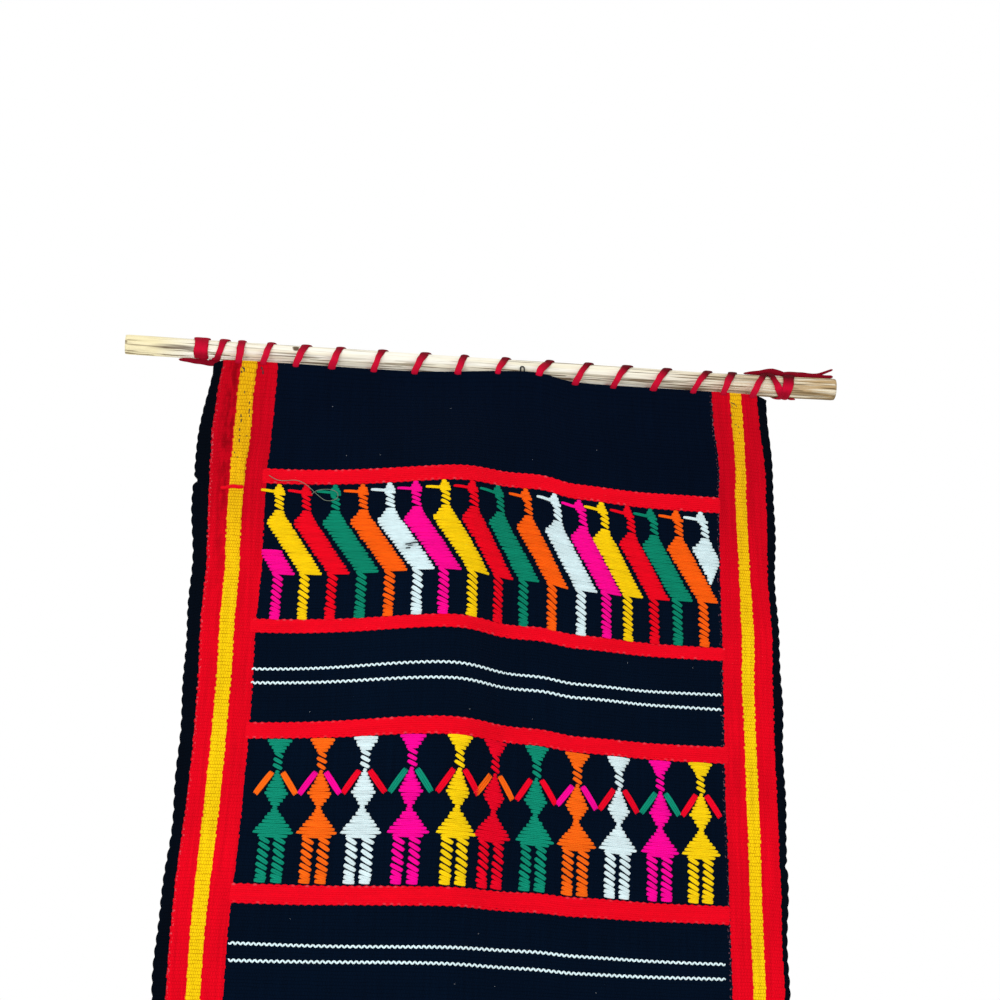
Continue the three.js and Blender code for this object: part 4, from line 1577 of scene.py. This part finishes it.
@dataclass
class Lashing:
    """One flat red yarn: whip-stitched through the cloth's top edge and over the stick, with free ends."""

    drape: Drape
    stick: HangingStick
    thickness: float = 0.9
    width: float = 3.0
    slack: float = 0.04
    cloth_rise: float = 1.0
    left_turns: Table = ((-131.0, -130.8), (-128.6, -128.3), (-122.8, -119.5))
    stitches: Table = (
        (-112.7, -112), (-101.7, -99), (-87.3, -83.4), (-71.4, -68), (-52.7, -49.1), (-34.4, -29.6),
        (-15.1, -12), (3, 6.8), (21.8, 27), (38.4, 45), (55.8, 63), (74.2, 81.6), (92.6, 100.4),
        (106.4, 111.8), (120, 127),
    )
    right_turns: Table = ((134.8, 136.8), (136.8, 138.8))
    last: float = 140.4
    cross: Table = (
        (127.4, 100, 0.3), (127.8, 116, 0.3), (129.6, 155, 0.4), (131.9, 205, 0.4), (134.8, 258, 0.2),
    )
    free_facing: tuple[float, float, float] = (0.0, -0.92, -0.39)
    # Painted shade: one dark tone for the free ends, then how deep the top shade is along the stick, and how
    # much top and under shade each angle round the stick gets
    free_shade_tone: float = 0.36
    top_shade_along: Table = ((-130, 0.45), (-60, 0.66), (0, 0.76), (130, 0.84))
    top_shade_round: Table = ((40, 0), (90, 1), (158, 1), (212, 0))
    under_shade_round: Table = ((216, 0), (242, 0.45), (300, 0.45), (330, 0))
    strands: tuple[Table, ...] = (
        (
            (-139.4, 268, 1, 0.5), (-136.6, 270, 1, 0.9), (-132, 272, 1.1, 1.2), (-126.5, 274, 1.5, 1.3),
            (-121, 272, 1.9, 1.1),
        ),
        (
            (117, 113, 0, 0.4), (121.4, 113, 0.3, 0.9), (126.4, 113, 0.8, 1.3), (130.6, 113, 1.3, 1.6),
            (133.2, 114, 0.8, 1.4), (136, 116, 0.3, 1),
        ),
        (
            (134.6, 113, 0.4, 1), (141, 113, 0.6, 1.2), (147.6, 113, 0.5, 1), (151.8, 113, 0.8, 0.7),
            (155.4, 112, 2.2, 0.6), (159, 111, 3.6, 0.5),
        ),
        ((134.6, 121, 0.2, 1), (143, 120, 0.2, 1.1), (152, 120, 0.1, 0.9), (159, 119, 0.2, 0.7)),
    )
    stations: int = 56

    def on_stick(self, x: float, angle: float, lift: float = 0.0) -> tuple[float, float, float]:
        """Places a point of the yarn on the stick.

        Args:
            x: Place along the stick.
            angle: Degrees round it: 0 behind, 90 on top, 180 in front.
            lift: Millimetres off the lie of the yarn.

        Returns:
            The point.
        """
        reach = float(self.stick.radius(x)) + self.slack + self.thickness / 2 + lift
        turn = np.deg2rad(angle)
        return x, reach * np.cos(turn), reach * np.sin(turn) + float(along(self.stick.bow, x))

    def over(self, low: float, top: float, following: float) -> list[tuple[float, float, float]]:
        """Runs the yarn from the front of a turn over the stick's top, down its back and under it.

        Args:
            low: Where the turn starts, at the front or under the stick.
            top: Where it goes over the stick's top.
            following: Where the next turn starts.

        Returns:
            Points of its way.
        """
        front = low + (top - low) * 0.66
        back = [top + (following - top) * share for share in (0.14, 0.42, 0.72, 0.88)]
        places = [(front, 165), (top, 117), (back[0], 65), (back[1], 10), (back[2], -45), (back[3], -80, 0.2)]
        return [self.on_stick(*place) for place in places]

    def turn(self, low: float, top: float, following: float) -> list[tuple[float, float, float]]:
        """Runs a bare turn: up the front of the stick, over it and under it again."""
        rise = low + (top - low) * 0.4
        return [self.on_stick(low, 262), self.on_stick(rise, 213), *self.over(low, top, following)]

    def stitch(self, low: float, top: float, following: float) -> list[tuple[float, float, float]]:
        """Runs a stitch: through the cloth from behind, up past its top edge and over the stick.

        Args:
            low: Where the turn starts, at the front or under the stick.
            top: Where it goes over the stick's top.
            following: Where the next turn starts.

        Returns:
            Points of its way.
        """
        edge = float(along(self.drape.top_edge, low)) + self.cloth_rise
        hang, lean = self.drape.hang, (top - low) * 0.1
        through = [
            (low - lean, hang + 1.4, edge - 2.1),
            (low - lean, hang, edge - 1.9),
            (low - 0.6 * lean, hang - 1.1, edge - 1.1),
            (low + lean, hang - 1.1, edge + 1.6),
        ]
        return through + self.over(low, top, following)

    def build(self, material: bpy.types.Material) -> bpy.types.Object:
        """Makes the lashing, in place of the model's plain one.

        A flat oval follows each turn, its thin side towards the stick's axis. Its width and its plies vary a
        little, and the dye is painted darker as shade on the stick's top, under it and at the free ends.

        Args:
            material: The yarn's finish.

        Returns:
            The piece.
        """
        turns = [*self.left_turns, *self.stitches, *self.right_turns]
        lows = [turn[0] for turn in turns[1:]] + [self.last]
        routes = []
        for (low, top), following in zip(turns, lows, strict=True):
            make = self.stitch if (low, top) in self.stitches else self.turn
            routes.append(make(low, top, following))
        for route, following in zip(routes[:-1], routes[1:], strict=True):
            route.append(following[0])
        routes.append([self.on_stick(*place) for place in self.cross])
        whole = len(routes)
        routes += [[self.on_stick(*place[:3]) for place in strand] for strand in self.strands]
        paths = np.stack([smooth_path(np.array(route), self.stations) for route in routes])
        order = np.arange(len(routes))[:, None]
        free = (order >= whole).astype(float)
        off_axis = paths * np.array([0.0, 1.0, 1.0])
        outward = off_axis * (1 - free[..., None]) + np.array(self.free_facing) * free[..., None]
        t = np.linspace(0, 1, self.stations)
        angle = np.mod(np.rad2deg(np.arctan2(paths[..., 2], paths[..., 1])), 360)
        wide = self.width / 2 * (1 + 0.1 * np.sin(7 * t + 2.3 * order) + 0.05 * np.sin(19 * t + order))
        wide = wide * (1 + 0.25 * swell(angle - 112, 40))
        wide[:2] *= 1.2
        for n, strand in enumerate(self.strands, whole):
            places = np.transpose(strand)
            wide[n] = np.interp(paths[n, :, 0], places[0], places[3])
        ends = np.where(order < whole - 1, 1.0, np.sqrt(np.clip(np.minimum(t, 1 - t) / 0.03, 0.15, 1)))
        wide, high = wide * ends, self.thickness / 2 * ends + 0 * wide
        # Painted shade: darker on the stick's top and deeper to the right, darker under the stick, and one
        # dark tone for the free ends
        shade_depth = np.interp(paths[..., 0], *np.transpose(self.top_shade_along))
        top_shade = np.interp(angle, *np.transpose(self.top_shade_round))
        under_shade = np.interp(angle, *np.transpose(self.under_shade_round))
        tone = (1 - shade_depth * top_shade - under_shade) * (1 - free) + self.free_shade_tone * free
        dyes = Dye.CRIMSON.light * tone[..., None]
        skin = yarn_skin(paths, outward, wide, high, 12, dyes, 2, 0.07)
        made = skin.piece("lashing_yarn", material, Slot.LASHING)
        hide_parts("lashing")
        return made


@dataclass
class Studio:
    """Camera at the photograph's angle, soft light and a pale floor well below the cloth."""

    eye: tuple[float, float, float] = (-83.1, -765.9, -391.8)
    ahead: tuple[float, float, float] = (0.1055, 0.9147, 0.3902)
    up: tuple[float, float, float] = (-0.0585, -0.386, 0.9206)
    focal: float = 1900.0
    picture: float = 1000.0
    sensor: float = 36.0
    lamp_power: float = 2.2
    lamp_size: float = 0.6
    lamp_place: tuple[float, float, float] = (-0.42, -0.8, -0.42)
    lamp_aim: tuple[float, float, float] = (0.0, 0.0, -0.24)
    floor: float = -620.0
    floor_half: float = 1500.0
    floor_steps: int = 40

    def camera(self) -> None:
        """Sets the camera. Its focal length is in pixels of the picture."""
        data = bpy.data.cameras.new("view")
        data.sensor_width = self.sensor
        data.lens = self.focal / self.picture * self.sensor
        data.clip_start, data.clip_end = 0.01, 50.0
        made = bpy.data.objects.new("view", data)
        bpy.context.scene.collection.objects.link(made)
        back = -Vector(self.ahead).normalized()
        right = Vector(self.up).cross(back).normalized()
        upright = back.cross(right)
        turn = Matrix((right, upright, back)).transposed().to_4x4()
        made.matrix_world = Matrix.Translation(Vector(self.eye) * MM) @ turn
        bpy.context.scene.camera = made

    def light(self) -> None:
        """Sets a white surround and one large soft lamp in front on the left."""
        world = bpy.data.worlds.new("surround")
        bpy.context.scene.world = world
        world.use_nodes = True
        w = Wiring(world.node_tree)
        background = w.add("Background", {"Color": (1, 1, 1, 1), "Strength": 1.0})
        w.add("OutputWorld", {0: background.outputs[0]})
        lamp = bpy.data.lights.new("soft_lamp", "AREA")
        lamp.energy, lamp.shape, lamp.size = self.lamp_power, "DISK", self.lamp_size
        made = bpy.data.objects.new("soft_lamp", lamp)
        bpy.context.scene.collection.objects.link(made)
        place = Vector(self.lamp_place)
        aim = Vector(self.lamp_aim) - place
        made.matrix_world = Matrix.Translation(place) @ aim.to_track_quat("-Z", "Y").to_matrix().to_4x4()

    def ground(self) -> bpy.types.Object:
        """Makes the floor: a plane whose far edge rises in a soft curve.

        Returns:
            The floor.
        """
        line = np.linspace(-self.floor_half, self.floor_half, self.floor_steps)
        x, y = np.meshgrid(line, line)
        z = self.floor + 60 * (np.maximum(y - 900, 0) / 600) ** 2
        points = np.stack([x, y, z], -1).reshape(-1, 3)
        mesh = bpy.data.meshes.new("floor")
        mesh.from_pydata((points * MM).tolist(), [], grid_faces(*x.shape).tolist())
        mesh.shade_smooth()
        material, w, place = new_finish("pale_floor")
        tone = w.spread(w.cloud(place, (6.0, 6.0, 6.0), 4.0), 0.3, 0.7, 0.0, 1.0)
        w.coat({"Base Color": w.mix(tone, (0.8, 0.8, 0.79, 1), (0.84, 0.84, 0.83, 1)), "Roughness": 0.8})
        mesh.materials.append(material)
        made = bpy.data.objects.new("floor", mesh)
        bpy.context.scene.collection.objects.link(made)
        return made


def main() -> None:
    """Builds the scene piece by piece."""
    logging.basicConfig(level=logging.INFO, format="%(name)s %(message)s")
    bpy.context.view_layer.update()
    studio = Studio()
    studio.camera()
    studio.light()
    studio.ground()
    bpy.context.scene.view_settings.view_transform = "Standard"
    effects = Effects(warp_ribs(), spun_fibres(), cloudy_wear())
    brocade = YarnFinish("brocade_yarn").material(effects)
    drape = Drape()
    cloth = ClothGround(drape).build(GroundFinish().material(effects))
    worked = [
        WeftBands(drape).build(YarnFinish("weft_yarn", contrast=0.2).material(effects)),
        BirdRow(drape).build(brocade),
        WomenRow(drape).build(brocade),
        ZigzagPicks(drape).build(brocade),
        LooseThreads(drape).build(brocade),
    ]
    stick = HangingStick()
    rod = stick.build(WoodFinish().material(effects))
    thick_yarn = YarnFinish("lashing_yarn", slant=0.3, contrast=0.4, relief=0.0004)
    Lashing(drape, stick).build(thick_yarn.material(effects))
    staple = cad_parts["staple"]
    staple.data.materials.clear()
    staple.data.materials.append(SteelFinish().material(effects))


if __name__ == "__main__":
    main()
